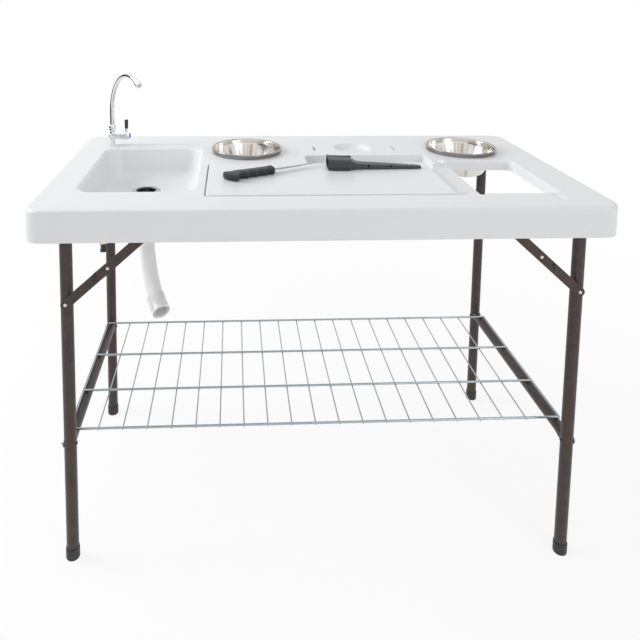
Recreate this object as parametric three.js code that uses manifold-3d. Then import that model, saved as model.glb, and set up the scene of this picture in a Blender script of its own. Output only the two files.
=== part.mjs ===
import * as THREE from 'three';
import { mergeVertices } from 'three/addons/utils/BufferGeometryUtils.js';
import Module from 'manifold-3d';

const wasm = await Module();
wasm.setup();

// Table top: overall sizes
const tableLength = 1143;
const tableWidth = 600;
const standHeight = 765;
const skirtHeight = 63;
const skirtThickness = 11;
const slabThickness = 24;
const tableCornerRadius = 32;
const topEdgeRadius = 6;
const skirtDraft = 2;
const touchGap = 0.3;
const cutMargin = 2;
const slabUnderside = standHeight - slabThickness;
const skirtBottom = standHeight - skirtHeight;

// Sink basin
const basinCentreXShare = -0.332458;
const basinCentreX = tableLength * basinCentreXShare;
const basinCentreYShare = -0.015833;
const basinCentreY = tableWidth * basinCentreYShare;
const basinRimLengthShare = 0.215223;
const basinRimLength = tableLength * basinRimLengthShare;
const basinRimWidthShare = 0.606667;
const basinRimWidth = tableWidth * basinRimWidthShare;
const basinRimStep = 8;
const basinRimDepth = 3;
const basinDepth = 73;
const basinWallDraft = 7;
const basinFloorRadius = 24;
const basinShell = 4;
const basinCornerRadius = 40;
const ledgeLeftShare = -0.416448;
const ledgeLeft = tableLength * ledgeLeftShare;
const ledgeRightShare = -0.229221;
const ledgeRight = tableLength * ledgeRightShare;
const ledgeBackShare = 0.343333;
const ledgeBack = tableWidth * ledgeBackShare;
const ledgeDepth = 2;
const basinFloor = standHeight - basinDepth;

// Board recess, finger pocket, bin opening, dimples and slits
const recessDepth = 10;
const recessLeftShare = -0.209974;
const recessLeft = tableLength * recessLeftShare;
const recessRightShare = 0.293963;
const recessRight = tableLength * recessRightShare;
const recessFrontShare = -0.37;
const recessFront = tableWidth * recessFrontShare;
const recessBackShare = 0.02;
const recessBack = tableWidth * recessBackShare;
const recessCornerRadius = 12;
const pocketDepth = 18;
const pocketLeftShare = -0.005249;
const pocketLeft = tableLength * pocketLeftShare;
const pocketRightShare = 0.257218;
const pocketRight = tableLength * pocketRightShare;
const pocketBackShare = 0.143333;
const pocketBack = tableWidth * pocketBackShare;
const pocketCornerRadius = 16;
const openingLeftShare = 0.288714;
const openingLeft = tableLength * openingLeftShare;
const openingRightShare = 0.428696;
const openingRight = tableLength * openingRightShare;
const openingFrontShare = -0.356667;
const openingFront = tableWidth * openingFrontShare;
const openingBackShare = 0.05;
const openingBack = tableWidth * openingBackShare;
const openingCornerRadius = 14;
const openingEdgeRound = 3;
const dimpleRadius = 14;
const dimpleFloorRadius = 8;
const dimpleDepth = 3;
const dimpleLeftXShare = 0.272091;
const dimpleLeftX = tableLength * dimpleLeftXShare;
const dimpleRightXShare = 0.414698;
const dimpleRightX = tableLength * dimpleRightXShare;
const dimpleBackLeftYShare = 0.048333;
const dimpleBackLeftY = tableWidth * dimpleBackLeftYShare;
const dimpleBackRightYShare = 0.083333;
const dimpleBackRightY = tableWidth * dimpleBackRightYShare;
const dimpleFrontRightYShare = -0.393333;
const dimpleFrontRightY = tableWidth * dimpleFrontRightYShare;
const dimpleRecessXShare = 0.266842;
const dimpleRecessX = tableLength * dimpleRecessXShare;
const dimpleRecessYShare = -0.316667;
const dimpleRecessY = tableWidth * dimpleRecessYShare;
const slitLength = 42;
const slitWidth = 5;
const slitLeftXShare = 0.023622;
const slitLeftX = tableLength * slitLeftXShare;
const slitRightXShare = 0.20385;
const slitRightX = tableLength * slitRightXShare;
const slitYShare = 0.258333;
const slitY = tableWidth * slitYShare;
const cupCentreXShare = 0.111111;
const cupCentreX = tableLength * cupCentreXShare;
const cupCentreYShare = 0.268333;
const cupCentreY = tableWidth * cupCentreYShare;
const cupRadius = 47;
const cupDepth = 12;
const cupStep = 3;
const pitRadius = 11;
const pitTopRadius = 6;
const pitDepth = 7;
const pitSpacingXShare = 0.104987;
const pitSpacingX = tableLength * pitSpacingXShare;
const pitSpacingYShare = 0.12;
const pitSpacingY = tableWidth * pitSpacingYShare;
const pitStartXShare = -0.166229;
const pitStartX = tableLength * pitStartXShare;
const pitStartYShare = -0.316667;
const pitStartY = tableWidth * pitStartYShare;
const pitColumns = 4;
const pitRows = 3;

// Cutting board
const boardLeftShare = -0.20385;
const boardLeft = tableLength * boardLeftShare;
const boardRightShare = 0.23797;
const boardRight = tableLength * boardRightShare;
const boardFrontShare = -0.361667;
const boardFront = tableWidth * boardFrontShare;
const boardBackShare = 0.011667;
const boardBack = tableWidth * boardBackShare;
const boardThickness = 11.2;
const boardCornerRadius = 10;
const boardEdgeRound = 1.6;

// Bowls
const bowlRimRadius = 88;
const bowlHoleRadius = 82.4;
const bowlRimRise = 12;
const bowlSheet = 1.3;
const bowlDepth = 72;
const bowlBaseRadius = 44;
const bowlBellyRadius = 62;
const bowlBellyRise = 13;
const bowlFootStep = 3;
const bowlRollRadius = 2.2;
const leftBowlXShare = -0.128609;
const leftBowlX = tableLength * leftBowlXShare;
const leftBowlYShare = 0.216667;
const leftBowlY = tableWidth * leftBowlYShare;
const rightBowlXShare = 0.353456;
const rightBowlX = tableLength * rightBowlXShare;
const rightBowlYShare = 0.23;
const rightBowlY = tableWidth * rightBowlYShare;

// Faucet
const faucetXShare = -0.432196;
const faucetX = tableLength * faucetXShare;
const faucetYShare = 0.33;
const faucetY = tableWidth * faucetYShare;
const flangeRadius = 13.5;
const flangeHeight = 4.5;
const postRadius = 6.6;
const postTopRise = 46;
const collarRadius = 8.2;
const collarHeight = 6;
const armRise = 25;
const armRadius = 8;
const armLength = 27;
const armRingRadius = 9;
const armRingLength = 5;
const hubRadius = 10.2;
const hubLength = 17;
const leverNeckRadius = 4;
const leverNeckTop = 19;
const gripRadius = 5;
const gripLength = 23;
const buttonRadius = 5.4;
const buttonThickness = 2.4;
const spoutRadius = 6;
const spoutBore = 4.6;
const spoutStraightRise = 90;
const spoutStraightTop = standHeight + spoutStraightRise;
const spoutBendRadius = 104;
const spoutTurnDegrees = 56.8;
const spoutBendDegrees = 120;
const spoutEndLength = 9;
const spoutNutRadius = 9;
const spoutNutHeight = 8;
const nozzleRadius = 8.4;
const nozzleLength = 17;
const shankRadius = 7;
const shankReach = 25;
const shankBottom = slabUnderside - shankReach;
const threadPitch = 4;
const threadDepth = 0.7;
const washerRadius = 15;
const washerThickness = 2.6;
const lockNutRadius = 13;
const lockNutHeight = 9;
const tailRadius = 5;
const tailBore = 3.8;
const tailShiftX = -27;
const tailShiftY = -8;
const tailDrop = 196;
const tailEndX = faucetX + tailShiftX;
const tailEndY = faucetY + tailShiftY;
const tailEndZ = shankBottom - tailDrop;
const tailNutRadius = 13;
const tailNutHeight = 26;
const connectorRadius = 7.6;
const connectorLength = 24;
const connectorFlare = 1.2;

// Drain and hose
const drainXShare = -0.339458;
const drainX = tableLength * drainXShare;
const drainYShare = 0.071667;
const drainY = tableWidth * drainYShare;
const drainFlangeRadius = 33;
const drainFlangeHeight = 2.4;
const drainMouthRadius = 23;
const drainThroatRadius = 21;
const drainHoleRadius = 24.6;
const drainThreadRadius = 24;
const drainThreadLength = 24;
const spigotRadius = 15.9;
const spigotBore = 14;
const spigotLength = 22;
const drainCrossWidth = 3.6;
const drainCrossDepth = 4;
const gasketRadius = 31;
const gasketThickness = 3;
const drainNutRadius = 30;
const drainNutHeight = 11;
const hoseRadius = 18.4;
const hoseStraight = 92;
const hoseBendRadius = 158;
const hoseBendDegrees = 66;
const hoseTurnDegrees = -63;
const cuffLength = 46;
const cuffWall = 1;
const clampWidth = 9;
const clampWall = 1.2;
const clampBlockLength = 14;
const clampBlockWidth = 7;

// Leg frames
const legInset = 61.5;
const legX = tableLength / 2 - legInset;
const leftLegYShare = 0.380833;
const leftLegY = tableWidth * leftLegYShare;
const rightLegInset = 43;
const rightLegY = tableWidth / 2 - rightLegInset;
const leftPivotDrop = 47.5;
const rightPivotDrop = 22.5;
const leftPivotHeight = slabUnderside - leftPivotDrop;
const rightPivotHeight = slabUnderside - rightPivotDrop;
const legRadius = 12.5;
const footRadius = 14.1;
const footHeight = 24;
const footSole = 4;
const footWallGap = 0.45;
const pivotPinRadius = 4;
const rivetRadius = 3;
const rivetHeadRadius = 5.6;
const rivetHeadHeight = 2.4;
const domeEdgeShare = 0.8;
const domeRiseShare = 0.6;
const domeTopShare = 0.3;
const pivotHeadRadius = 6.7;
const braceDrop = 139.5;
const braceInset = 16;
const braceWidth = 19;
const braceThickness = 2.2;
const braceEndRadius = 9.5;
const braceTailLength = 17;
const stopTabLength = 9;
const stopTabHeight = 4;
const stopTabDistance = 27;
const stopTabBend = 2.4;
const keyHoleRadius = 2;
const keyHoleDistance = 9;
const barRadius = 11;
const barHeight = 256.5;
const barFlatHalfHeight = 13.4;
const barFlatHalfThickness = 1.5;
const barFlatHeight = 252;
const barFlatStart = 16;
const barRoundStart = 40;
const barFlatReach = 11;
const barBoltRadius = 3;
const boltHeadRadius = 6.4;
const boltHeadHeight = 5;
const boltNutHeight = 4.6;

// Brackets under the top
const bracketThickness = 2.2;
const bracketOverhang = 25;
const bracketLength = 207;
const bracketEndX = legX + bracketOverhang;
const bracketInnerX = bracketEndX - bracketLength;
const bracketDrop = 12;
const bracketChamfer = 4;
const bracketFlangeWidth = 10.5;
const bracketScrewRadius = 2;
const bracketScrewHead = 3.6;
const bracketScrewHeadHeight = 2.4;
const bracketScrewLength = 15;
const bracketScrewStart = 16;
const bracketScrewSpacing = 80;

// Wire shelf
const shelfOverhang = 6;
const shelfSideGap = 17.5;
const shelfHalfLength = legX + shelfOverhang;
const shelfHalfWidth = leftLegY - shelfSideGap;
const frameWireRadius = 2.5;
const crossWireRadius = 1.5;
const crossWireStartInset = 58;
const crossWireEndInset = 70.4;
const crossWireCount = 19;
const crossWireStart = crossWireStartInset - shelfHalfLength;
const crossWireSpacing = (2 * shelfHalfLength - crossWireStartInset - crossWireEndInset) / (crossWireCount - 1);
const weldSink = 0.8;
const innerWireBackShare = 0.279621;
const innerWireFrontShare = -0.388626;
const innerWireBack = shelfHalfWidth * innerWireBackShare;
const innerWireFront = shelfHalfWidth * innerWireFrontShare;

// Knife and sheath
const knifeButtXShare = -0.174103;
const knifeButtX = tableLength * knifeButtXShare;
const knifeButtYShare = -0.201667;
const knifeButtY = tableWidth * knifeButtYShare;
const knifeAngleDegrees = 25.5;
const handleLengthShare = 0.101487;
const handleLength = tableLength * handleLengthShare;
const handleWidth = 27;
const handleThickness = 17;
const gripWave = 1.6;
const gripWaveCount = 4;
const bladeLengthShare = 0.111986;
const bladeLength = tableLength * bladeLengthShare;
const bladeWidth = 19;
const bladeThickness = 1.6;
const bladeTang = 26;
const sheathXShare = 0.029746;
const sheathX = tableLength * sheathXShare;
const sheathYShare = -0.05;
const sheathY = tableWidth * sheathYShare;
const sheathAngleDegrees = -1.5;
const sheathThroatLength = 62;
const sheathThroatWidth = 50;
const sheathThroatThickness = 26;
const sheathLengthShare = 0.188976;
const sheathLength = tableLength * sheathLengthShare;
const sheathBodyWidth = 31;
const sheathBodyThickness = 13;
const sheathTipWidth = 12;
const sheathWall = 2;
const sheathHoleRadius = 3;
const sheathHoleShares = [0.43, 0.67, 0.88];

// Facet counts
const cornerSteps = 4;
const ringSides = 32;
const midSides = 16;
const legSides = 16;
const pipeSides = 10;
const smallSides = 8;
const screwSides = 6;
const wireSides = 6;
const crossWireSides = 6;
const nutSides = 6;
const hoseSides = 12;
const hoseSteps = 14;

const degrees = Math.PI / 180;
const quarterTurn = Math.PI / 2;

// Materials
const finish = (name, color, roughness, metalness) =>
  new THREE.MeshStandardMaterial({ name, color, roughness, metalness });
const palette = {
  table: () => finish('table_plastic', 0xe9eaec, 0.5, 0),
  board: () => finish('board_plastic', 0xeef0f1, 0.55, 0),
  steel: () => finish('polished_steel', 0xc9ccd0, 0.18, 1),
  chrome: () => finish('faucet_chrome', 0xd4d7db, 0.1, 1),
  zinc: () => finish('zinc_wire', 0xb4bbc0, 0.35, 1),
  coat: () => finish('brown_coat', 0x3a312b, 0.45, 0.1),
  black: () => finish('black_plastic', 0x151515, 0.55, 0),
  brass: () => finish('brass_metal', 0xb98a4a, 0.3, 1),
  rubber: () => finish('seal_rubber', 0x1d1d1d, 0.8, 0),
  hose: () => finish('white_hose', 0xf2f2f2, 0.45, 0),
  blue: () => finish('blue_cap', 0x2338c8, 0.4, 0),
  blade: () => finish('blade_steel', 0xb9bdc2, 0.25, 1),
};

// Turns a mesh so that its faces point outwards.
const faceOut = (geometry) => {
  const p = geometry.attributes.position;
  const index = geometry.index.array;
  const a = new THREE.Vector3();
  const b = new THREE.Vector3();
  const c = new THREE.Vector3();
  let volume = 0;
  for (let i = 0; i < index.length; i += 3) {
    a.fromBufferAttribute(p, index[i]);
    b.fromBufferAttribute(p, index[i + 1]);
    c.fromBufferAttribute(p, index[i + 2]);
    volume += a.dot(b.cross(c));
  }
  if (volume < 0) {
    for (let i = 0; i < index.length; i += 3) {
      [index[i + 1], index[i + 2]] = [index[i + 2], index[i + 1]];
    }
  }
  return geometry;
};

// Joins equal vertices, so that a mesh is one closed skin.
const weld = (geometry) => {
  const bare = geometry.clone();
  bare.deleteAttribute('normal');
  bare.deleteAttribute('uv');
  return faceOut(mergeVertices(bare));
};

// Makes a solid for joining and cutting.
const solid = (geometry) => {
  const welded = weld(geometry);
  return new wasm.Manifold(new wasm.Mesh({
    numProp: 3,
    vertProperties: Float32Array.from(welded.attributes.position.array),
    triVerts: Uint32Array.from(welded.index.array),
  }));
};

// Makes a mesh from a solid again.
const skin = (body) => {
  const mesh = body.getMesh();
  const geometry = new THREE.BufferGeometry();
  geometry.setAttribute('position', new THREE.BufferAttribute(mesh.vertProperties, 3));
  geometry.setIndex(new THREE.BufferAttribute(mesh.triVerts, 1));
  return geometry;
};

const join = (parts) => parts.map(solid).reduce((sum, next) => sum.add(next));
const carve = (body, tools) => tools.map(solid).reduce((rest, tool) => rest.subtract(tool), body);

// A named mesh with its own material.
const piece = (name, geometry, material) => {
  const flat = weld(geometry).toNonIndexed();
  flat.computeVertexNormals();
  const mesh = new THREE.Mesh(flat, material());
  mesh.name = name;
  return mesh;
};

// A closed skin over rings of equal point counts.
const loft = (rings) => {
  const count = rings[0].length;
  const points = rings.flat().flatMap((point) => [point.x, point.y, point.z]);
  const index = [];
  for (let k = 0; k + 1 < rings.length; k += 1) {
    for (let i = 0; i < count; i += 1) {
      const j = (i + 1) % count;
      const low = k * count;
      const high = low + count;
      index.push(low + i, low + j, high + j, low + i, high + j, high + i);
    }
  }
  const last = (rings.length - 1) * count;
  for (let i = 1; i + 1 < count; i += 1) {
    index.push(0, i + 1, i, last, last + i, last + i + 1);
  }
  const geometry = new THREE.BufferGeometry();
  geometry.setAttribute('position', new THREE.Float32BufferAttribute(points, 3));
  geometry.setIndex(index);
  return geometry;
};

// One level ring of a box with round corners.
const ring = ({ x0, x1, y0, y1, r, z }) => {
  const points = [];
  const corners = [[x1 - r, y1 - r], [x0 + r, y1 - r], [x0 + r, y0 + r], [x1 - r, y0 + r]];
  corners.forEach(([cx, cy], quarter) => {
    for (let step = 0; step <= cornerSteps; step += 1) {
      const angle = (quarter + step / cornerSteps) * quarterTurn;
      points.push(new THREE.Vector3(cx + r * Math.cos(angle), cy + r * Math.sin(angle), z));
    }
  });
  return points;
};

// The ring of a box pulled in on every side.
const inset = (box, distance, z) => ({
  x0: box.x0 + distance,
  x1: box.x1 - distance,
  y0: box.y0 + distance,
  y1: box.y1 - distance,
  r: Math.max(box.r - distance, box.r * 0.2),
  z,
});

const rectangle = (x0, x1, y0, y1, r) => ({ x0, x1, y0, y1, r });
const pillar = (box, z0, z1) => loft([ring({ ...box, z: z0 }), ring({ ...box, z: z1 })]);

// The radius of a faceted hole whose flats stay clear of a round bar.
const holeFor = (radius, sides = smallSides) => (radius + touchGap) / Math.cos(Math.PI / sides);

// A round bar between two heights.
const rod = (radius, z0, z1, sides = smallSides) => {
  const geometry = new THREE.CylinderGeometry(radius, radius, z1 - z0, sides);
  geometry.rotateX(quarterTurn);
  geometry.translate(0, 0, (z0 + z1) / 2);
  return geometry;
};

// A round bar along X or Y through a point.
const rodX = (radius, x0, x1, y, z, sides = smallSides) =>
  rod(radius, x0, x1, sides).rotateY(quarterTurn).translate(0, y, z);
const rodY = (radius, y0, y1, x, z, sides = smallSides) =>
  rod(radius, -y1, -y0, sides).rotateX(quarterTurn).translate(x, 0, z);

const block = (x0, x1, y0, y1, z0, z1) =>
  new THREE.BoxGeometry(x1 - x0, y1 - y0, z1 - z0)
    .translate((x0 + x1) / 2, (y0 + y1) / 2, (z0 + z1) / 2);

// A turned body from radius and height pairs; a ring's profile is closed on itself.
const turned = (profile, sides = ringSides) => {
  const points = profile.map(([r, z]) => new THREE.Vector2(r, z));
  if (profile[0][0] > 0) {
    points.push(points[0].clone());
  }
  return new THREE.LatheGeometry(points, sides).rotateX(quarterTurn);
};

// A flat plate drawn in the XZ plane.
const plate = (shape, y0, y1, curveSegments = cornerSteps) =>
  new THREE.ExtrudeGeometry(shape, { depth: y1 - y0, bevelEnabled: false, curveSegments })
    .rotateX(quarterTurn)
    .translate(0, y1, 0);

// A tube or bar swept along a list of points.
const sweep = (points, outer, bore, sides, steps) => {
  const outline = [];
  for (let i = 0; i < sides; i += 1) {
    const angle = (i / sides) * 2 * Math.PI;
    outline.push(new THREE.Vector2(outer * Math.cos(angle), outer * Math.sin(angle)));
  }
  const shape = new THREE.Shape(outline);
  if (bore > 0) {
    shape.holes.push(new THREE.Path(outline.map((p) => p.clone().multiplyScalar(bore / outer))));
  }
  const path = new THREE.CatmullRomCurve3(points);
  return new THREE.ExtrudeGeometry(shape, { steps, extrudePath: path });
};

const place = (geometry, x, y, z) => geometry.translate(x, y, z);

// The same piece at the back and, mirrored, at the front
const backAndFront = (name, side, geometry, material) => [
  piece(`${name}_${side.name}_back`, geometry, material),
  piece(`${name}_${side.name}_front`, geometry.clone().scale(1, -1, 1), material),
];

// The blow-moulded top as one closed body before any cuts
const topBlank = () => {
  const box = rectangle(-tableLength / 2, tableLength / 2, -tableWidth / 2, tableWidth / 2, tableCornerRadius);
  const levels = [ring(inset(box, 0, skirtBottom))];
  const roundSteps = 3;
  for (let step = 0; step <= roundSteps; step += 1) {
    const angle = (step / roundSteps) * quarterTurn;
    const pull = topEdgeRadius * (1 - Math.cos(angle));
    const rise = topEdgeRadius * Math.sin(angle);
    levels.push(ring(inset(box, pull, standHeight - topEdgeRadius + rise)));
  }
  return loft(levels);
};

// The space inside the skirt
const skirtHollow = () => {
  const box = rectangle(-tableLength / 2, tableLength / 2, -tableWidth / 2, tableWidth / 2, tableCornerRadius);
  return loft([
    ring(inset(box, skirtThickness - skirtDraft, skirtBottom - cutMargin)),
    ring(inset(box, skirtThickness, slabUnderside)),
  ]);
};

const basinBox = () => rectangle(
  basinCentreX - basinRimLength / 2,
  basinCentreX + basinRimLength / 2,
  basinCentreY - basinRimWidth / 2,
  basinCentreY + basinRimWidth / 2,
  basinCornerRadius,
);

// Rings down a basin wall and round its floor edge, grown outwards by a shell
const basinRings = (grow, top, bottom) => {
  const box = basinBox();
  const wallFoot = basinRimStep + basinWallDraft;
  const radius = basinFloorRadius + grow;
  const rings = [ring(inset(box, basinRimStep - grow, top))];
  const arcSteps = 3;
  for (let step = 0; step <= arcSteps; step += 1) {
    const angle = (step / arcSteps) * quarterTurn;
    const pull = wallFoot - grow + radius * (1 - Math.cos(angle));
    rings.push(ring(inset(box, pull, bottom + radius * (1 - Math.sin(angle)))));
  }
  return rings;
};

const basinTub = () => loft(basinRings(basinShell, slabUnderside + cutMargin, basinFloor - basinShell));
const basinHollow = () => loft(basinRings(0, standHeight + cutMargin, basinFloor));

const basinLip = () => {
  const box = basinBox();
  return loft([
    ring(inset(box, basinRimDepth, standHeight - basinRimDepth)),
    ring(inset(box, 0, standHeight)),
    ring(inset(box, 0, standHeight + cutMargin)),
  ]);
};

// A shallow soap ledge behind the basin
const soapLedge = () => pillar(
  rectangle(ledgeLeft, ledgeRight, basinCentreY, ledgeBack, basinCornerRadius / 4),
  standHeight - ledgeDepth,
  standHeight + cutMargin,
);

const boardRecess = () => pillar(
  rectangle(recessLeft, recessRight, recessFront, recessBack, recessCornerRadius),
  standHeight - recessDepth,
  standHeight + cutMargin,
);

const fingerPocket = () => {
  const box = rectangle(pocketLeft, pocketRight, recessBack - pocketCornerRadius, pocketBack, pocketCornerRadius);
  return loft([
    ring(inset(box, openingEdgeRound, standHeight - pocketDepth)),
    ring(inset(box, 0, standHeight - pocketDepth + openingEdgeRound)),
    ring(inset(box, 0, standHeight + cutMargin)),
  ]);
};

const binOpening = () => {
  const box = rectangle(openingLeft, openingRight, openingFront, openingBack, openingCornerRadius);
  return loft([
    ring(inset(box, 0, slabUnderside - cutMargin)),
    ring(inset(box, 0, standHeight - openingEdgeRound)),
    ring(inset(box, -openingEdgeRound, standHeight)),
    ring(inset(box, -openingEdgeRound, standHeight + cutMargin)),
  ]);
};

// A shallow round dish cut from above
const dimple = (x, y, z) => place(turned([
  [0, z - dimpleDepth],
  [dimpleFloorRadius, z - dimpleDepth],
  [dimpleRadius, z],
  [dimpleRadius, z + cutMargin],
  [0, z + cutMargin],
], midSides), x, y, 0);

const dimples = () => [
  dimple(dimpleLeftX, dimpleBackLeftY, standHeight),
  dimple(dimpleRightX, dimpleBackRightY, standHeight),
  dimple(dimpleRightX, dimpleFrontRightY, standHeight),
  dimple(dimpleRecessX, dimpleRecessY, standHeight - recessDepth),
];

// A moulded pit in the underside, which ties the two skins of the slab together
const underPit = (x, y) => place(turned([
  [0, slabUnderside - cutMargin],
  [pitRadius, slabUnderside - cutMargin],
  [pitRadius, slabUnderside],
  [pitTopRadius, slabUnderside + pitDepth],
  [0, slabUnderside + pitDepth],
], screwSides), x, y, 0);

const underPits = () => {
  const pits = [];
  for (let column = 0; column < pitColumns; column += 1) {
    for (let row = 0; row < pitRows; row += 1) {
      pits.push(underPit(pitStartX + column * pitSpacingX, pitStartY + row * pitSpacingY));
    }
  }
  return pits;
};

const knifeSlit = (x) => pillar(
  rectangle(x - slitWidth / 2, x + slitWidth / 2, slitY - slitLength / 2, slitY + slitLength / 2, slitWidth / 2.2),
  slabUnderside - cutMargin,
  standHeight + cutMargin,
);

const cupRecess = () => place(turned([
  [0, standHeight - cupDepth],
  [cupRadius - cupStep, standHeight - cupDepth],
  [cupRadius - cupStep / 2, standHeight - cupDepth + cupStep],
  [cupRadius, standHeight],
  [cupRadius, standHeight + cutMargin],
  [0, standHeight + cutMargin],
]), cupCentreX, cupCentreY, 0);

// A bowl's hole with a bevelled seat
const bowlHole = (x, y) => place(turned([
  [0, slabUnderside - cutMargin],
  [bowlHoleRadius, slabUnderside - cutMargin],
  [bowlHoleRadius, standHeight - openingEdgeRound],
  [bowlHoleRadius + openingEdgeRound, standHeight],
  [bowlHoleRadius + openingEdgeRound, standHeight + cutMargin],
  [0, standHeight + cutMargin],
]), x, y, 0);

const sides = {
  left: { name: 'left', sign: -1, legY: leftLegY, pivot: leftPivotHeight },
  right: { name: 'right', sign: 1, legY: rightLegY, pivot: rightPivotHeight },
};

// Layer positions outside a leg: lower link, upper link and bracket, with gaps between them
const layers = (side) => {
  const lowerStart = side.legY + legRadius + touchGap;
  const upperStart = lowerStart + braceThickness + touchGap;
  const bracketStart = upperStart + braceThickness + touchGap;
  return {
    lower: [lowerStart, lowerStart + braceThickness],
    upper: [upperStart, upperStart + braceThickness],
    bracket: [bracketStart, bracketStart + bracketThickness],
  };
};

// Points of the brace linkage, solved so that its links lie flat when the legs are folded
const linkage = (side) => {
  const rivet = new THREE.Vector2(legX * side.sign, side.pivot - braceDrop);
  const anchor = new THREE.Vector2((legX - braceDrop - braceInset) * side.sign, side.pivot);
  const span = rivet.distanceTo(anchor);
  const lowerLength = (span + braceInset) / 2;
  const knee = rivet.clone().lerp(anchor, lowerLength / span);
  return { rivet, anchor, knee, span, lowerLength };
};

const screwPlaces = (side) => {
  const { bracket } = layers(side);
  const y = bracket[1] + bracketFlangeWidth / 2;
  return [0, 1, 2].map((k) => [(bracketInnerX + bracketScrewStart + bracketScrewSpacing * k) * side.sign, y]);
};

const screwHole = (x, y) => place(
  rod(holeFor(bracketScrewRadius, screwSides), slabUnderside - cutMargin, slabUnderside + bracketScrewLength, screwSides),
  x, y, 0);

const allScrewPlaces = () => [sides.left, sides.right].flatMap((side) =>
  screwPlaces(side).flatMap(([x, y]) => [[x, y], [x, -y]]));

const tableTop = () => {
  const shell = solid(topBlank()).subtract(solid(skirtHollow())).add(solid(basinTub()));
  const cuts = [
    basinHollow(),
    basinLip(),
    soapLedge(),
    boardRecess(),
    fingerPocket(),
    binOpening(),
    ...dimples(),
    ...underPits(),
    knifeSlit(slitLeftX),
    knifeSlit(slitRightX),
    cupRecess(),
    bowlHole(leftBowlX, leftBowlY),
    bowlHole(rightBowlX, rightBowlY),
    place(rod(drainHoleRadius, basinFloor - basinShell - cutMargin, basinFloor + cutMargin, ringSides), drainX, drainY, 0),
    place(rod(holeFor(shankRadius + threadDepth), slabUnderside - cutMargin, standHeight + cutMargin),
      faucetX, faucetY, 0),
    ...allScrewPlaces().map(([x, y]) => screwHole(x, y)),
  ];
  return piece('table_top', skin(carve(shell, cuts)), palette.table);
};

const cuttingBoard = () => {
  const box = rectangle(boardLeft, boardRight, boardFront, boardBack, boardCornerRadius);
  const z0 = standHeight - recessDepth + touchGap;
  const z1 = z0 + boardThickness;
  return piece('cutting_board', loft([
    ring(inset(box, boardEdgeRound, z0)),
    ring(inset(box, 0, z0 + boardEdgeRound)),
    ring(inset(box, 0, z1 - boardEdgeRound)),
    ring(inset(box, boardEdgeRound, z1)),
  ]), palette.board);
};

// A spun bowl: flat foot, round belly, flared wall and a rolled rim
const bowl = (name, x, y) => {
  const rim = standHeight + bowlRimRise;
  const base = rim - bowlDepth;
  const neck = bowlHoleRadius - touchGap;
  const seat = standHeight - openingEdgeRound;
  const wallRun = (neck - bowlBellyRadius) / (seat - base - bowlBellyRise);
  const lipRadius = neck + wallRun * (rim - bowlRollRadius * 2 - seat);
  const outer = [
    [0, base + bowlFootStep / 2],
    [bowlBaseRadius - bowlFootStep, base + bowlFootStep / 2],
    [bowlBaseRadius - bowlFootStep / 2, base],
    [bowlBaseRadius + bowlFootStep, base + bowlFootStep / 2],
    [(bowlBaseRadius + bowlBellyRadius) / 2 + bowlFootStep, base + bowlBellyRise / 2.6],
    [bowlBellyRadius, base + bowlBellyRise],
    [neck, seat],
    [lipRadius, rim - bowlRollRadius * 2],
    [bowlRimRadius, rim - bowlRollRadius * 1.5],
    [bowlRimRadius, rim - bowlRollRadius / 2],
    [bowlRimRadius - bowlRollRadius, rim],
  ];
  const inner = [
    [lipRadius - bowlSheet, rim - bowlRollRadius],
    [neck - bowlSheet, seat],
    [bowlBellyRadius - bowlSheet, base + bowlBellyRise + bowlSheet / 2],
    [(bowlBaseRadius + bowlBellyRadius) / 2 + bowlFootStep - bowlSheet, base + bowlBellyRise / 2.6 + bowlSheet],
    [bowlBaseRadius, base + bowlFootStep / 2 + bowlSheet],
    [0, base + bowlFootStep / 2 + bowlSheet],
  ];
  return piece(name, place(turned([...outer, ...inner]), x, y, 0), palette.steel);
};

const faucetFlange = () => piece('faucet_flange', place(turned([
  [postRadius + touchGap, standHeight + touchGap],
  [flangeRadius, standHeight + touchGap],
  [flangeRadius, standHeight + flangeHeight / 3],
  [postRadius + 3 * touchGap, standHeight + flangeHeight],
  [postRadius + touchGap, standHeight + flangeHeight],
], midSides), faucetX, faucetY, 0), palette.chrome);

// The cast faucet body: post, collar and the side arm that holds the valve
const faucetBody = () => {
  const low = standHeight + touchGap;
  const top = standHeight + postTopRise;
  const arm = standHeight + armRise;
  const post = place(turned([
    [0, low],
    [postRadius, low],
    [postRadius, top - collarHeight - 1],
    [collarRadius, top - collarHeight],
    [collarRadius, top],
    [0, top],
  ], midSides), faucetX, faucetY, 0);
  const armEnd = faucetX + armLength;
  const armBar = rodX(armRadius, faucetX, armEnd, faucetY, arm, midSides);
  const armRing = rodX(armRingRadius, armEnd - armRingLength, armEnd, faucetY, arm, midSides);
  return piece('faucet_body', skin(join([post, armBar, armRing])), palette.chrome);
};

const leverHub = () => {
  const x0 = faucetX + armLength + touchGap;
  const z = standHeight + armRise;
  const hub = turned([
    [0, 0],
    [hubRadius * 0.9, 0],
    [hubRadius, hubLength * 0.15],
    [hubRadius, hubLength * 0.8],
    [hubRadius * 0.8, hubLength],
    [0, hubLength],
  ], midSides).rotateY(quarterTurn).translate(x0, faucetY, z);
  const neck = place(rod(leverNeckRadius, 0, leverNeckTop, smallSides), x0 + hubLength / 2, faucetY, z);
  const buttonSeat = rodX(buttonRadius + touchGap, x0 + hubLength - buttonThickness / 2, x0 + hubLength + cutMargin,
    faucetY, z, midSides);
  return piece('lever_hub', skin(carve(join([hub, neck]), [buttonSeat])), palette.chrome);
};

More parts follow.
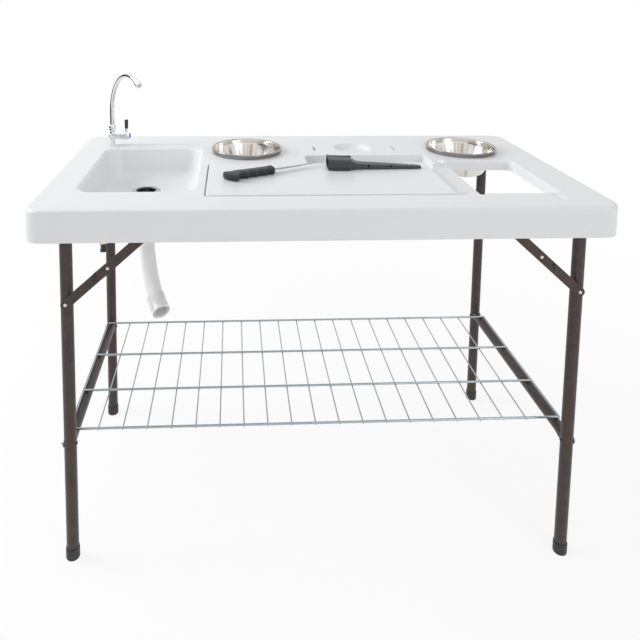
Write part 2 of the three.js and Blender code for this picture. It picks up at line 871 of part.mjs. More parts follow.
const leverGrip = () => {
  const x = faucetX + armLength + touchGap + hubLength / 2;
  const z0 = standHeight + armRise + leverNeckTop + touchGap;
  return piece('lever_grip', place(turned([
    [0, z0],
    [gripRadius * 0.86, z0],
    [gripRadius, z0 + gripLength * 0.1],
    [gripRadius, z0 + gripLength * 0.88],
    [gripRadius * 0.7, z0 + gripLength],
    [0, z0 + gripLength],
  ], smallSides), x, faucetY, 0), palette.black);
};

const indexButton = () => {
  const x = faucetX + armLength + touchGap + hubLength - buttonThickness / 2 + touchGap;
  return piece('index_button', turned([
    [0, 0],
    [buttonRadius, 0],
    [buttonRadius, buttonThickness * 0.6],
    [buttonRadius * 0.7, buttonThickness],
    [0, buttonThickness],
  ], midSides).rotateY(quarterTurn).translate(x, faucetY, standHeight + armRise), palette.blue);
};

const spoutNut = () => {
  const z0 = standHeight + postTopRise + touchGap;
  const bore = holeFor(spoutRadius, pipeSides);
  return piece('spout_nut', place(turned([
    [bore, z0],
    [spoutNutRadius, z0],
    [spoutNutRadius, z0 + spoutNutHeight * 0.7],
    [bore + touchGap, z0 + spoutNutHeight],
    [bore, z0 + spoutNutHeight],
  ], pipeSides), faucetX, faucetY, 0), palette.chrome);
};

// The direction in which the water leaves the spout
const spoutAim = () => {
  const turn = spoutTurnDegrees * degrees;
  const angle = spoutBendDegrees * degrees;
  const level = new THREE.Vector3(Math.cos(turn), -Math.sin(turn), 0);
  return level.multiplyScalar(Math.sin(angle)).setZ(Math.cos(angle));
};

// Centre line of the gooseneck: straight rise, then a bend over the basin
const spoutRoute = () => {
  const turn = spoutTurnDegrees * degrees;
  const heading = new THREE.Vector3(Math.cos(turn), -Math.sin(turn), 0);
  const start = new THREE.Vector3(faucetX, faucetY, standHeight + postTopRise + touchGap);
  const bend = new THREE.Vector3(faucetX, faucetY, spoutStraightTop);
  const points = [start, start.clone().lerp(bend, 0.5)];
  const arcSteps = 10;
  for (let step = 0; step <= arcSteps; step += 1) {
    const angle = (step / arcSteps) * spoutBendDegrees * degrees;
    const out = heading.clone().multiplyScalar(spoutBendRadius * (1 - Math.cos(angle)));
    points.push(bend.clone().add(out).setZ(spoutStraightTop + spoutBendRadius * Math.sin(angle)));
  }
  const end = points[points.length - 1];
  points.push(end.clone().addScaledVector(spoutAim(), spoutEndLength / 2));
  points.push(end.clone().addScaledVector(spoutAim(), spoutEndLength));
  return points;
};

const spoutTube = () =>
  piece('spout_tube', sweep(spoutRoute(), spoutRadius, 0, pipeSides, 16), palette.chrome);

const spoutNozzle = () => {
  const points = spoutRoute();
  const end = points[points.length - 1];
  const bore = holeFor(spoutRadius, pipeSides);
  const sleeve = spoutEndLength / 2;
  const shape = turned([
    [bore, -sleeve],
    [nozzleRadius * 0.9, -sleeve],
    [nozzleRadius, -sleeve / 2],
    [nozzleRadius, nozzleLength - sleeve],
    [spoutBore, nozzleLength - sleeve],
    [spoutBore, touchGap],
    [bore, touchGap],
  ], midSides);
  const turnTo = new THREE.Quaternion().setFromUnitVectors(new THREE.Vector3(0, 0, 1), spoutAim());
  return piece('spout_nozzle', shape.applyQuaternion(turnTo).translate(end.x, end.y, end.z), palette.chrome);
};

// The threaded shank with raised rings below the top
const faucetShank = () => {
  const profile = [[0, standHeight - touchGap], [shankRadius, standHeight - touchGap], [shankRadius, slabUnderside]];
  for (let z = slabUnderside - threadPitch; z > shankBottom + threadPitch; z -= threadPitch) {
    profile.push([shankRadius + threadDepth, z + threadPitch / 2]);
    profile.push([shankRadius, z]);
  }
  profile.push([shankRadius, shankBottom], [0, shankBottom]);
  return piece('faucet_shank', place(turned(profile, smallSides), faucetX, faucetY, 0), palette.brass);
};

const threadedRing = (name, radius, top, height, sides, material) => {
  const bore = holeFor(shankRadius + threadDepth, sides);
  return piece(name, place(turned([
    [bore, top - height],
    [radius, top - height],
    [radius, top],
    [bore, top],
  ], sides), faucetX, faucetY, 0), material);
};

const shankWasher = () => threadedRing('shank_washer', washerRadius, slabUnderside - touchGap, washerThickness,
  midSides, palette.rubber);
const lockNut = () => threadedRing('lock_nut', lockNutRadius, slabUnderside - 2 * touchGap - washerThickness,
  lockNutHeight, nutSides, palette.brass);

// The bent tail below the shank
const tailPipe = () => {
  const top = shankBottom - touchGap;
  const drop = (top - tailEndZ) / 6;
  const points = [
    new THREE.Vector3(faucetX, faucetY, top),
    new THREE.Vector3(faucetX, faucetY, top - drop / 2),
    new THREE.Vector3((faucetX * 3 + tailEndX) / 4, (faucetY * 3 + tailEndY) / 4, top - 2 * drop),
    new THREE.Vector3((faucetX + tailEndX * 3) / 4, (faucetY + tailEndY * 3) / 4, top - 4 * drop),
    new THREE.Vector3(tailEndX, tailEndY, tailEndZ + drop / 2),
    new THREE.Vector3(tailEndX, tailEndY, tailEndZ),
  ];
  return piece('tail_pipe', sweep(points, tailRadius, 0, pipeSides, 12), palette.chrome);
};

const tailNut = () => {
  const top = tailEndZ - touchGap;
  return piece('tail_nut', place(turned([
    [tailBore, top - tailNutHeight],
    [tailNutRadius, top - tailNutHeight],
    [tailNutRadius, top - tailNutHeight * 0.3],
    [tailNutRadius * 0.7, top - tailNutHeight * 0.2],
    [tailNutRadius * 0.6, top],
    [tailBore, top],
  ], smallSides), tailEndX, tailEndY, 0), palette.brass);
};

const hoseConnector = () => {
  const top = tailEndZ - tailNutHeight - 2 * touchGap;
  const low = top - connectorLength;
  return piece('hose_connector', place(turned([
    [tailBore, low],
    [connectorRadius + connectorFlare, low],
    [connectorRadius + connectorFlare, low + connectorLength * 0.25],
    [connectorRadius, low + connectorLength * 0.35],
    [connectorRadius, top - connectorLength * 0.15],
    [connectorRadius + connectorFlare, top],
    [tailBore, top],
  ], smallSides), tailEndX, tailEndY, 0), palette.black);
};

// The drain: flange, threaded neck and hose spigot in one turning, with a cross in the mouth
const drainBody = () => {
  const seat = basinFloor + touchGap;
  const threadBottom = basinFloor - drainThreadLength;
  const spigotBottom = threadBottom - spigotLength;
  const shell = turned([
    [spigotBore, spigotBottom],
    [spigotRadius, spigotBottom],
    [spigotRadius, threadBottom],
    [drainThreadRadius, threadBottom],
    [drainThreadRadius, seat],
    [drainFlangeRadius, seat],
    [drainFlangeRadius - drainFlangeHeight / 2, seat + drainFlangeHeight],
    [drainMouthRadius, seat + drainFlangeHeight],
    [drainThroatRadius, seat],
    [drainThroatRadius, threadBottom + drainFlangeHeight],
    [spigotBore, threadBottom + drainFlangeHeight / 2],
  ], midSides);
  const crossTop = basinFloor - drainFlangeHeight;
  const reach = drainThroatRadius + weldSink;
  const cross = [
    block(-reach, reach, -drainCrossWidth / 2, drainCrossWidth / 2, crossTop - drainCrossDepth, crossTop),
    block(-drainCrossWidth / 2, drainCrossWidth / 2, -reach, reach, crossTop - drainCrossDepth, crossTop),
  ];
  return piece('drain_body', place(skin(join([shell, ...cross])), drainX, drainY, 0), palette.steel);
};

const drainRing = (name, radius, top, height, sides, material) => piece(name, place(turned([
  [drainThreadRadius + touchGap, top - height],
  [radius, top - height],
  [radius, top],
  [drainThreadRadius + touchGap, top],
], sides), drainX, drainY, 0), material);

const drainGasket = () =>
  drainRing('drain_gasket', gasketRadius, basinFloor - basinShell - touchGap, gasketThickness, midSides, palette.rubber);

const drainNut = () => {
  const top = basinFloor - basinShell - 2 * touchGap - gasketThickness;
  const ringBody = solid(turned([
    [drainThreadRadius + touchGap, top - drainNutHeight],
    [drainNutRadius, top - drainNutHeight],
    [drainNutRadius, top],
    [drainThreadRadius + touchGap, top],
  ], midSides));
  const ribs = [];
  const ribCount = 8;
  for (let k = 0; k < ribCount; k += 1) {
    const rib = block(drainNutRadius - 1, drainNutRadius + 2, -2, 2, top - drainNutHeight, top);
    ribs.push(solid(rib.rotateZ((k / ribCount) * 2 * Math.PI)));
  }
  const body = ribs.reduce((sum, rib) => sum.add(rib), ringBody);
  return piece('drain_nut', place(skin(body), drainX, drainY, 0), palette.black);
};

// Route of the drain hose: straight down from the spigot, then a bend towards the front
const hoseRoute = (fromShare = 0) => {
  const top = basinFloor - drainThreadLength - 2 * touchGap;
  const bendTop = top - hoseStraight;
  const turn = hoseTurnDegrees * degrees;
  const heading = new THREE.Vector3(Math.cos(turn), Math.sin(turn), 0);
  const points = [];
  const straightSteps = 4;
  const bendSteps = 14;
  for (let step = 0; step < straightSteps; step += 1) {
    points.push(new THREE.Vector3(drainX, drainY, top - (hoseStraight * step) / straightSteps));
  }
  for (let step = 0; step <= bendSteps; step += 1) {
    const angle = (step / bendSteps) * hoseBendDegrees * degrees;
    const out = heading.clone().multiplyScalar(hoseBendRadius * (1 - Math.cos(angle)));
    points.push(new THREE.Vector3(drainX + out.x, drainY + out.y, bendTop - hoseBendRadius * Math.sin(angle)));
  }
  if (fromShare === 0) {
    return points;
  }
  const curve = new THREE.CatmullRomCurve3(points);
  return [0, 1, 2, 3, 4].map((k) => curve.getPointAt(fromShare + ((1 - fromShare) * k) / 4));
};

const drainHose = () =>
  piece('drain_hose', sweep(hoseRoute(), hoseRadius, holeFor(spigotRadius, hoseSides), hoseSides, hoseSteps), palette.hose);

const hoseCuff = () => {
  const length = new THREE.CatmullRomCurve3(hoseRoute()).getLength();
  const inner = holeFor(hoseRadius, hoseSides) + touchGap;
  return piece('hose_cuff', sweep(hoseRoute(1 - cuffLength / length), inner + cuffWall, inner, hoseSides, 4), palette.hose);
};

const hoseClamp = () => {
  const middle = basinFloor - drainThreadLength - spigotLength / 2;
  const inner = holeFor(hoseRadius, midSides);
  const band = turned([
    [inner, middle - clampWidth / 2],
    [inner + clampWall, middle - clampWidth / 2],
    [inner + clampWall, middle + clampWidth / 2],
    [inner, middle + clampWidth / 2],
  ], midSides);
  const screwBlock = block(-clampBlockLength / 2, clampBlockLength / 2, inner + clampWall / 2,
    inner + clampWall + clampBlockWidth, middle - clampWidth / 2, middle + clampWidth / 2);
  return piece('hose_clamp', place(skin(join([band, screwBlock])), drainX, drainY, 0), palette.steel);
};

// The domed outer head of a rivet, as radius and height pairs
const rivetDome = (headRadius, y1) => [
  [headRadius, y1],
  [headRadius * domeEdgeShare, y1 + rivetHeadHeight * domeRiseShare],
  [headRadius * domeTopShare, y1 + rivetHeadHeight],
  [0, y1 + rivetHeadHeight],
];

// A turned body about a line along Y
const turnedY = (profile, x, z) => turned(profile, smallSides).rotateX(-quarterTurn).translate(x, 0, z);

// A rivet along Y with a flat inner head and a domed outer head
const rivetY = (radius, headRadius, y0, y1, x, z) => turnedY([
  [0, y0 - rivetHeadHeight / 2],
  [headRadius * domeEdgeShare, y0 - rivetHeadHeight / 2],
  [headRadius * domeEdgeShare, y0],
  [radius, y0],
  [radius, y1],
  ...rivetDome(headRadius, y1),
], x, z);

// A rivet along Y whose inner end is flush, so that a link can pass over it
const flushRivetY = (radius, headRadius, y0, y1, x, z) =>
  turnedY([[0, y0], [radius, y0], [radius, y1], ...rivetDome(headRadius, y1)], x, z);

// Holes across one leg for the pivot pin and the bar bolt
const legHoles = (side) => {
  const x = legX * side.sign;
  const y0 = side.legY - legRadius - cutMargin;
  const y1 = side.legY + legRadius + cutMargin;
  return [
    rodY(holeFor(pivotPinRadius), y0, y1, x, side.pivot),
    rodX(holeFor(barBoltRadius), x - legRadius - cutMargin, x + legRadius + cutMargin, side.legY, barFlatHeight),
  ];
};

// A leg tube with a round top end about the pivot, and the rivet that carries its brace
const legs = (side) => {
  const steps = 3;
  const profile = [[0, footSole + touchGap], [legRadius, footSole + touchGap]];
  for (let step = 0; step < steps; step += 1) {
    const angle = (step / steps) * quarterTurn;
    profile.push([legRadius * Math.cos(angle), side.pivot + legRadius * Math.sin(angle)]);
  }
  profile.push([0, side.pivot + legRadius]);
  const tube = place(turned(profile, legSides), legX * side.sign, side.legY, 0);
  const { rivet } = linkage(side);
  const outer = layers(side).lower[1] + touchGap;
  const braceRivet = rivetY(rivetRadius, rivetHeadRadius, side.legY, outer, rivet.x, rivet.y);
  return backAndFront('leg', side, skin(carve(join([tube, braceRivet]), legHoles(side))), palette.coat);
};

const feet = (side) => {
  const inner = legRadius + footWallGap;
  const foot = turned([
    [0, 0],
    [footRadius - 1, 0],
    [footRadius, 1.5],
    [footRadius, footHeight - 1],
    [footRadius - 0.5, footHeight],
    [inner, footHeight],
    [inner, footSole],
    [0, footSole],
  ], midSides);
  return backAndFront('foot', side, place(foot, legX * side.sign, side.legY, 0), palette.black);
};

// One section of a cross bar, round in the middle and pressed flat at the ends
const barSection = (y, centreX, halfX, centreZ, halfZ, squareness) => {
  const points = [];
  const count = 12;
  for (let i = 0; i < count; i += 1) {
    const angle = (i / count) * 2 * Math.PI;
    const c = Math.cos(angle);
    const s = Math.sin(angle);
    const x = centreX + halfX * Math.sign(c) * Math.abs(c) ** (2 / squareness);
    const z = centreZ + halfZ * Math.sign(s) * Math.abs(s) ** (2 / squareness);
    points.push(new THREE.Vector3(x, y, z));
  }
  return points;
};

// A cross bar whose pressed ends lie against the inner faces of its legs
const crossBar = (side) => {
  const x = legX * side.sign;
  const flatX = (legX - legRadius - touchGap - barFlatHalfThickness) * side.sign;
  const flatStart = side.legY - barFlatStart;
  const roundStart = side.legY - barRoundStart;
  const blend = (share) => barSection(
    flatStart + (roundStart - flatStart) * share,
    flatX + (x - flatX) * share,
    barFlatHalfThickness + (barRadius - barFlatHalfThickness) * share,
    barFlatHeight + (barHeight - barFlatHeight) * share,
    barFlatHalfHeight + (barRadius - barFlatHalfHeight) * share,
    5 - 3 * share,
  );
  const half = [
    barSection(side.legY + barFlatReach, flatX, barFlatHalfThickness, barFlatHeight, barFlatHalfHeight - 2, 5),
    barSection(side.legY + barFlatReach - 3, flatX, barFlatHalfThickness, barFlatHeight, barFlatHalfHeight, 5),
    blend(0),
    blend(0.3),
    blend(0.7),
    blend(1),
  ];
  const other = half.map((section) => section.map((p) => new THREE.Vector3(p.x, -p.y, p.z))).reverse();
  const bar = solid(loft([...half, ...other]));
  const reach = legRadius + 4 * barFlatHalfThickness;
  const holes = [side.legY, -side.legY].map((y) =>
    rodX(holeFor(barBoltRadius), flatX - reach, flatX + reach, y, barFlatHeight));
  return piece(`cross_bar_${side.name}`, skin(carve(bar, holes)), palette.coat);
};

// A bolt along X with a domed head outside the leg and a nut inside the bar end
const barBolts = (side) => {
  const outer = legX + legRadius + touchGap;
  const inner = legX - legRadius - 2 * touchGap - 2 * barFlatHalfThickness;
  const shape = turned([
    [0, inner - boltNutHeight - 1],
    [barBoltRadius * 0.8, inner - boltNutHeight - 1],
    [barBoltRadius, inner - boltNutHeight],
    [boltHeadRadius * 0.9, inner - boltNutHeight],
    [boltHeadRadius * 0.9, inner],
    [barBoltRadius, inner],
    [barBoltRadius, outer],
    [boltHeadRadius, outer],
    [boltHeadRadius * 0.8, outer + boltHeadHeight * 0.6],
    [boltHeadRadius * 0.3, outer + boltHeadHeight],
    [0, outer + boltHeadHeight],
  ], smallSides);
  const bolt = shape.rotateY(quarterTurn * side.sign).translate(0, side.legY, barFlatHeight);
  return backAndFront('bar_bolt', side, bolt, palette.zinc);
};

// A flat link with round ends between two points
const linkShape = (from, to, tail) => {
  const along = to.clone().sub(from);
  const angle = Math.atan2(along.y, along.x);
  const end = along.length() + tail;
  const shape = new THREE.Shape();
  const at = (u, v) => [
    from.x + u * Math.cos(angle) - v * Math.sin(angle),
    from.y + u * Math.sin(angle) + v * Math.cos(angle),
  ];
  const arc = (centre, start) => {
    const steps = 8;
    const points = [];
    for (let step = 0; step <= steps; step += 1) {
      const turn = start + (step / steps) * Math.PI;
      points.push(at(centre + braceEndRadius * Math.cos(turn), (braceWidth / 2) * Math.sin(turn)));
    }
    return points;
  };
  const outline = [...arc(end, -quarterTurn), ...arc(0, quarterTurn)];
  outline.forEach(([u, v], i) => (i === 0 ? shape.moveTo(u, v) : shape.lineTo(u, v)));
  return shape;
};

// The lower link with its bent stop tab and small hole; it stays clear of the knee head on the upper link
const lowerLinks = (side) => {
  const { rivet, knee } = linkage(side);
  const { lower } = layers(side);
  const along = knee.clone().sub(rivet).normalize();
  const up = new THREE.Vector2(-along.y * side.sign, along.x * side.sign).multiplyScalar(-1);
  const strip = plate(linkShape(rivet, knee, 0), lower[0], lower[1]);
  const slant = Math.atan2(along.y, along.x);
  const tabPart = (fromEdge, height, y0) => {
    const rise = braceWidth / 2 + fromEdge + height / 2;
    const centre = knee.clone().addScaledVector(along, -stopTabDistance).addScaledVector(up, rise);
    return new THREE.BoxGeometry(stopTabLength, lower[1] - y0, height)
      .rotateY(-slant)
      .translate(centre.x, (lower[1] + y0) / 2, centre.y);
  };
  const tabRoot = tabPart(-stopTabHeight / 2, stopTabHeight, lower[0]);
  const tabLug = tabPart(stopTabHeight / 2, braceThickness, lower[0] - stopTabBend);
  const keyCentre = knee.clone().addScaledVector(along, -keyHoleDistance - stopTabDistance);
  const low = lower[0] - cutMargin;
  const high = lower[1] + cutMargin;
  const holes = [
    rodY(holeFor(rivetRadius), low, high, rivet.x, rivet.y),
    rodY(keyHoleRadius, low, high, keyCentre.x, keyCentre.y),
  ];
  return backAndFront('lower_link', side, skin(carve(join([strip, tabRoot, tabLug]), holes)), palette.coat);
};

// The upper link with the head of the knee rivet, the pivot at which the brace's closed chain is opened
const upperLinks = (side) => {
  const { anchor, knee } = linkage(side);
  const { upper } = layers(side);
  const strip = plate(linkShape(anchor, knee, braceTailLength), upper[0], upper[1]);
  const kneeHead = flushRivetY(rivetRadius, rivetHeadRadius, upper[0], upper[1], knee.x, knee.y);
  const hole = rodY(holeFor(rivetRadius), upper[0] - cutMargin, upper[1] + cutMargin, anchor.x, anchor.y);
  return backAndFront('upper_link', side, skin(carve(join([strip, kneeHead]), [hole])), palette.coat);
};

// The pin in the bracket that the leg turns on
const pivotPins = (side) => {
  const outer = layers(side).bracket[1] + touchGap;
  const inner = side.legY - legRadius - touchGap;
  const pin = rivetY(pivotPinRadius, pivotHeadRadius, inner, outer, legX * side.sign, side.pivot);
  return backAndFront('pivot_pin', side, pin, palette.zinc);
};

// A screw up through the bracket's flange into the slab
const bracketScrew = ([x, y]) => {
  const seat = slabUnderside - touchGap - bracketThickness;
  return place(turned([
    [0, seat - bracketScrewHeadHeight],
    [bracketScrewHead * 0.6, seat - bracketScrewHeadHeight],
    [bracketScrewHead, seat],
    [bracketScrewRadius, seat],
    [bracketScrewRadius, slabUnderside + bracketScrewLength * 0.7],
    [0, slabUnderside + bracketScrewLength * 0.9],
  ], screwSides), x, y, 0);
};

// An angle bracket: a hanging wall with two lobes, a flange screwed to the slab, and the rivet of the upper link
const brackets = (side) => {
  const { anchor } = linkage(side);
  const { upper, bracket: [y0, y1] } = layers(side);
  const top = slabUnderside - touchGap;
  const sx = side.sign;
  const shape = new THREE.Shape();
  const low = side.pivot - bracketDrop;
  const rise = low + bracketDrop;
  const outline = [
    [bracketEndX, top],
    [bracketInnerX, top],
    [bracketInnerX, low + bracketChamfer],
    [bracketInnerX + bracketChamfer, low],
    [Math.abs(anchor.x) + bracketDrop, low],
    [Math.abs(anchor.x) + 3 * bracketDrop, rise],
    [legX - 3 * bracketDrop, rise],
    [legX - bracketDrop, low],
    [bracketEndX - bracketChamfer, low],
    [bracketEndX, low + bracketChamfer],
  ];
  outline.forEach(([x, z], i) => (i === 0 ? shape.moveTo(x * sx, z) : shape.lineTo(x * sx, z)));
  const wall = plate(shape, y0, y1);
  const x0 = Math.min(bracketEndX * sx, bracketInnerX * sx);
  const x1 = Math.max(bracketEndX * sx, bracketInnerX * sx);
  const shelf = block(x0, x1, y0, y1 + bracketFlangeWidth, top - bracketThickness, top);
  const pivotHole = rodY(holeFor(pivotPinRadius), y0 - cutMargin, y1 + cutMargin, legX * sx, side.pivot);
  const linkRivet = flushRivetY(rivetRadius, rivetHeadRadius, upper[0], y1, anchor.x, anchor.y);
  const screws = screwPlaces(side).map(bracketScrew);
  return backAndFront('bracket', side, skin(carve(join([wall, shelf, linkRivet, ...screws]), [pivotHole])), palette.coat);
};

// The welded wire shelf: a frame with two inner wires above and cross wires below
const wireShelf = () => {
  const z = barHeight + barRadius + touchGap + frameWireRadius;
  const crossZ = z - frameWireRadius - crossWireRadius + weldSink;
  const wires = [shelfHalfWidth, innerWireBack, innerWireFront, -shelfHalfWidth].map((y) =>
    rodX(frameWireRadius, -shelfHalfLength - frameWireRadius, shelfHalfLength + frameWireRadius, y, z, wireSides));
  wires.push(rodY(frameWireRadius, -shelfHalfWidth, shelfHalfWidth, -shelfHalfLength, z, wireSides));
  wires.push(rodY(frameWireRadius, -shelfHalfWidth, shelfHalfWidth, shelfHalfLength, z, wireSides));
  for (let k = 0; k < crossWireCount; k += 1) {
    const x = crossWireStart + k * crossWireSpacing;
    wires.push(rodY(crossWireRadius, -shelfHalfWidth, shelfHalfWidth, x, crossZ, crossWireSides));
  }
  return piece('wire_shelf', skin(join(wires)), palette.zinc);
};

// One section of the knife handle, with finger waves along one edge
const handleSection = (u, halfWidth, halfThickness, shift) => {
  const points = [];
  const count = 12;
  for (let i = 0; i < count; i += 1) {
    const angle = (i / count) * 2 * Math.PI;
    points.push(new THREE.Vector3(u, shift + halfWidth * Math.cos(angle), halfThickness * Math.sin(angle)));
  }
  return points;
};

const knifeHandleBody = () => {
  const sections = [];
  const count = 14;
  for (let i = 0; i <= count; i += 1) {
    const share = i / count;
    const ends = Math.min(1, 0.62 + 3 * Math.min(share, 1 - share));
    const wave = gripWave * Math.sin(share * gripWaveCount * 2 * Math.PI);
    const halfWidth = (handleWidth / 2) * ends * (1 - 0.14 * share) + wave / 2;
    sections.push(handleSection(share * handleLength, halfWidth, (handleThickness / 2) * ends, wave / 2));
  }
  return loft(sections);
};

// A slim fillet blade with its tang inside the handle
const knifeBladeBody = () => {
  const shape = new THREE.Shape();
  const half = bladeWidth / 2;
  shape.moveTo(-bladeTang, -half * 0.5);
  shape.lineTo(0, -half * 0.5);
  shape.lineTo(0, -half);
  shape.quadraticCurveTo(bladeLength * 0.6, -half, bladeLength, half * 0.9);
  shape.lineTo(bladeLength * 0.55, half * 0.75);
  shape.lineTo(0, half * 0.6);
  shape.lineTo(0, half * 0.5);
  shape.lineTo(-bladeTang, half * 0.5);
  return new THREE.ExtrudeGeometry(shape, { depth: bladeThickness, bevelEnabled: false, curveSegments: 8 })
    .translate(handleLength + touchGap, 0, -bladeThickness / 2);
};

const knife = () => {
  const z = standHeight - recessDepth + 2 * touchGap + boardThickness + handleThickness / 2;
  const settle = (geometry) => geometry.rotateZ(knifeAngleDegrees * degrees).translate(knifeButtX, knifeButtY, z);
  const slot = new THREE.BoxGeometry(bladeTang + 2 * touchGap + cutMargin, bladeWidth * 0.5 + 4 * touchGap,
    bladeThickness + 2 * touchGap).translate(handleLength - bladeTang / 2 + touchGap + cutMargin / 2, 0, 0);
  const handle = skin(carve(solid(knifeHandleBody()), [slot]));
  return [
    piece('knife_handle', settle(handle), palette.black),
    piece('knife_blade', settle(knifeBladeBody()), palette.blade),
  ];
};

// One section of the sheath
const sheathSection = (u, halfWidth, thickness) => {
  const points = [];
  const count = 12;
  for (let i = 0; i < count; i += 1) {
    const angle = (i / count) * 2 * Math.PI;
    const c = Math.cos(angle);
    const s = Math.sin(angle);
    const y = halfWidth * Math.sign(c) * Math.abs(c) ** 0.6;
    const z = (thickness / 2) * (1 + Math.sign(s) * Math.abs(s) ** 0.6);
    points.push(new THREE.Vector3(u, y, z));
  }
  return points;
};

// The hollow sheath: wide throat for the handle, narrow body for the blade
const sheath = () => {
  const z = standHeight - recessDepth + 2 * touchGap + boardThickness;
  const outer = loft([
    sheathSection(0, sheathThroatWidth / 2, sheathThroatThickness),
    sheathSection(sheathThroatLength * 0.85, sheathThroatWidth / 2, sheathThroatThickness * 0.92),
    sheathSection(sheathThroatLength, sheathBodyWidth / 1.6, sheathThroatThickness * 0.7),
    sheathSection(sheathThroatLength * 1.2, sheathBodyWidth / 2, sheathBodyThickness),
    sheathSection(sheathLength - sheathTipWidth, sheathTipWidth, sheathBodyThickness * 0.8),
    sheathSection(sheathLength, sheathTipWidth / 2, sheathBodyThickness * 0.7),
  ]);
  const lift = (section) => section.map((p) => new THREE.Vector3(p.x, p.y, p.z + sheathWall));
  const inner = loft([
    lift(sheathSection(-cutMargin, sheathThroatWidth / 2 - sheathWall, sheathThroatThickness - 2 * sheathWall)),
    lift(sheathSection(sheathThroatLength * 0.82, sheathThroatWidth / 2 - sheathWall, sheathThroatThickness * 0.92 - 2 * sheathWall)),
    lift(sheathSection(sheathThroatLength * 1.15, sheathBodyWidth / 2 - sheathWall, sheathBodyThickness - 2 * sheathWall)),
    lift(sheathSection(sheathLength - 2 * sheathTipWidth, sheathTipWidth * 0.8, sheathBodyThickness * 0.8 - 2 * sheathWall)),
  ]);
  const holes = sheathHoleShares.map((share) => place(
    rod(sheathHoleRadius, -cutMargin, sheathThroatThickness + cutMargin), sheathLength * share, 0, 0));
  const body = skin(carve(solid(outer), [inner, ...holes]));
  return piece('knife_sheath', body.rotateZ(sheathAngleDegrees * degrees).translate(sheathX, sheathY, z), palette.black);
};

const stand = new THREE.Group();
stand.name = 'camping_sink_stand';
stand.add(
  tableTop(),
  cuttingBoard(),
  bowl('bowl_left', leftBowlX, leftBowlY),
  bowl('bowl_right', rightBowlX, rightBowlY),
  faucetFlange(),
  faucetBody(),
  leverHub(),
  leverGrip(),
  indexButton(),
  spoutNut(),
  spoutTube(),
  spoutNozzle(),
  faucetShank(),
  shankWasher(),
  lockNut(),
  tailPipe(),
  tailNut(),
  hoseConnector(),
  drainBody(),
  drainGasket(),
  drainNut(),
  drainHose(),
  hoseCuff(),
  hoseClamp(),
  wireShelf(),
  ...knife(),
  sheath(),
);
for (const side of [sides.left, sides.right]) {
  stand.add(
    ...legs(side),
    ...feet(side),
    crossBar(side),
    ...barBolts(side),
    ...lowerLinks(side),
    ...upperLinks(side),
    ...pivotPins(side),
    ...brackets(side),
  );
}

export default stand;
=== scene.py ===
"""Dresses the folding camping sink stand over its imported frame."""
import logging
import math
from dataclasses import dataclass, replace
from enum import Enum
from typing import Callable, Iterator, Sequence

import bmesh
import bpy
from mathutils import Matrix, Vector


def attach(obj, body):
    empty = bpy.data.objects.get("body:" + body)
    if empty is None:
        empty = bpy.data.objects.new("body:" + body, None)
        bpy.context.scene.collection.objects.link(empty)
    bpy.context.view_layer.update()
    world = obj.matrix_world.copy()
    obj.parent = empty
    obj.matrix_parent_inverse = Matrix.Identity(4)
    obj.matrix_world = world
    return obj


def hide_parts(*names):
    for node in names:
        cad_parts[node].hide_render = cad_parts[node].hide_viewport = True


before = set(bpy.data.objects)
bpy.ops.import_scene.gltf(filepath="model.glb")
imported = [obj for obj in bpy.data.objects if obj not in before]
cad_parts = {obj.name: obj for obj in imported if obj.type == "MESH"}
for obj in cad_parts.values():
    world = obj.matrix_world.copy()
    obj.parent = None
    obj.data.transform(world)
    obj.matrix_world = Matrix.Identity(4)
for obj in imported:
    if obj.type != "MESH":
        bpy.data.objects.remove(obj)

MM = 0.001
QUARTER = math.pi / 2
WELD = 0.004 * MM
FINE, SMALL, ROUND, MEDIUM, WIDE = 24, 32, 40, 48, 64
MARKS = ("Height", "Cloud")
CENTRE = {"Centre X": 0.0, "Centre Y": 0.0}
TOP = 765.0
BASIN_FLOOR = 692.0
TAP = (-494.0, 198.0)
DRAIN = (-388.0, 43.0)
LEFT_BOWL = (-147.0, 130.0)
RIGHT_BOWL = (404.0, 138.0)
PLAIN_WHITE = (1.0, 1.0, 1.0, 1.0)
GLOW_DEPTH = 0.006
LOG = logging.getLogger("sink_stand")
Piece = bpy.types.Object
Socket = bpy.types.NodeSocket
Tree = bpy.types.NodeTree
Colour = tuple[float, float, float]
Profile = Sequence[tuple[float, ...]]
MATERIALS: dict[str, bpy.types.Material] = {}


class End(Enum):
    """Which end of the stand a piece stands at, as the sign of X."""

    LEFT = -1
    RIGHT = 1

    @property
    def label(self) -> str:
        """The end's name in the frame's nodes."""
        return self.name.lower()


class Row(Enum):
    """Whether a piece stands in the back or the front row, as the sign of Y."""

    BACK = 1
    FRONT = -1

    @property
    def label(self) -> str:
        """The row's name in the frame's nodes."""
        return self.name.lower()


class Pattern(Enum):
    """How the fine marks of a finish run."""

    GRAIN = "grain"
    BRUSHED = "brushed"
    SPUN = "spun"


@dataclass(frozen=True)
class Station:
    """One cross-section of a drawn piece, in millimetres.

    Args:
        z: Height along the piece's line.
        x: Half size across.
        y: Half size deep.
        cx: Middle across.
        cy: Middle deep.
    """

    z: float
    x: float
    y: float
    cx: float = 0.0
    cy: float = 0.0


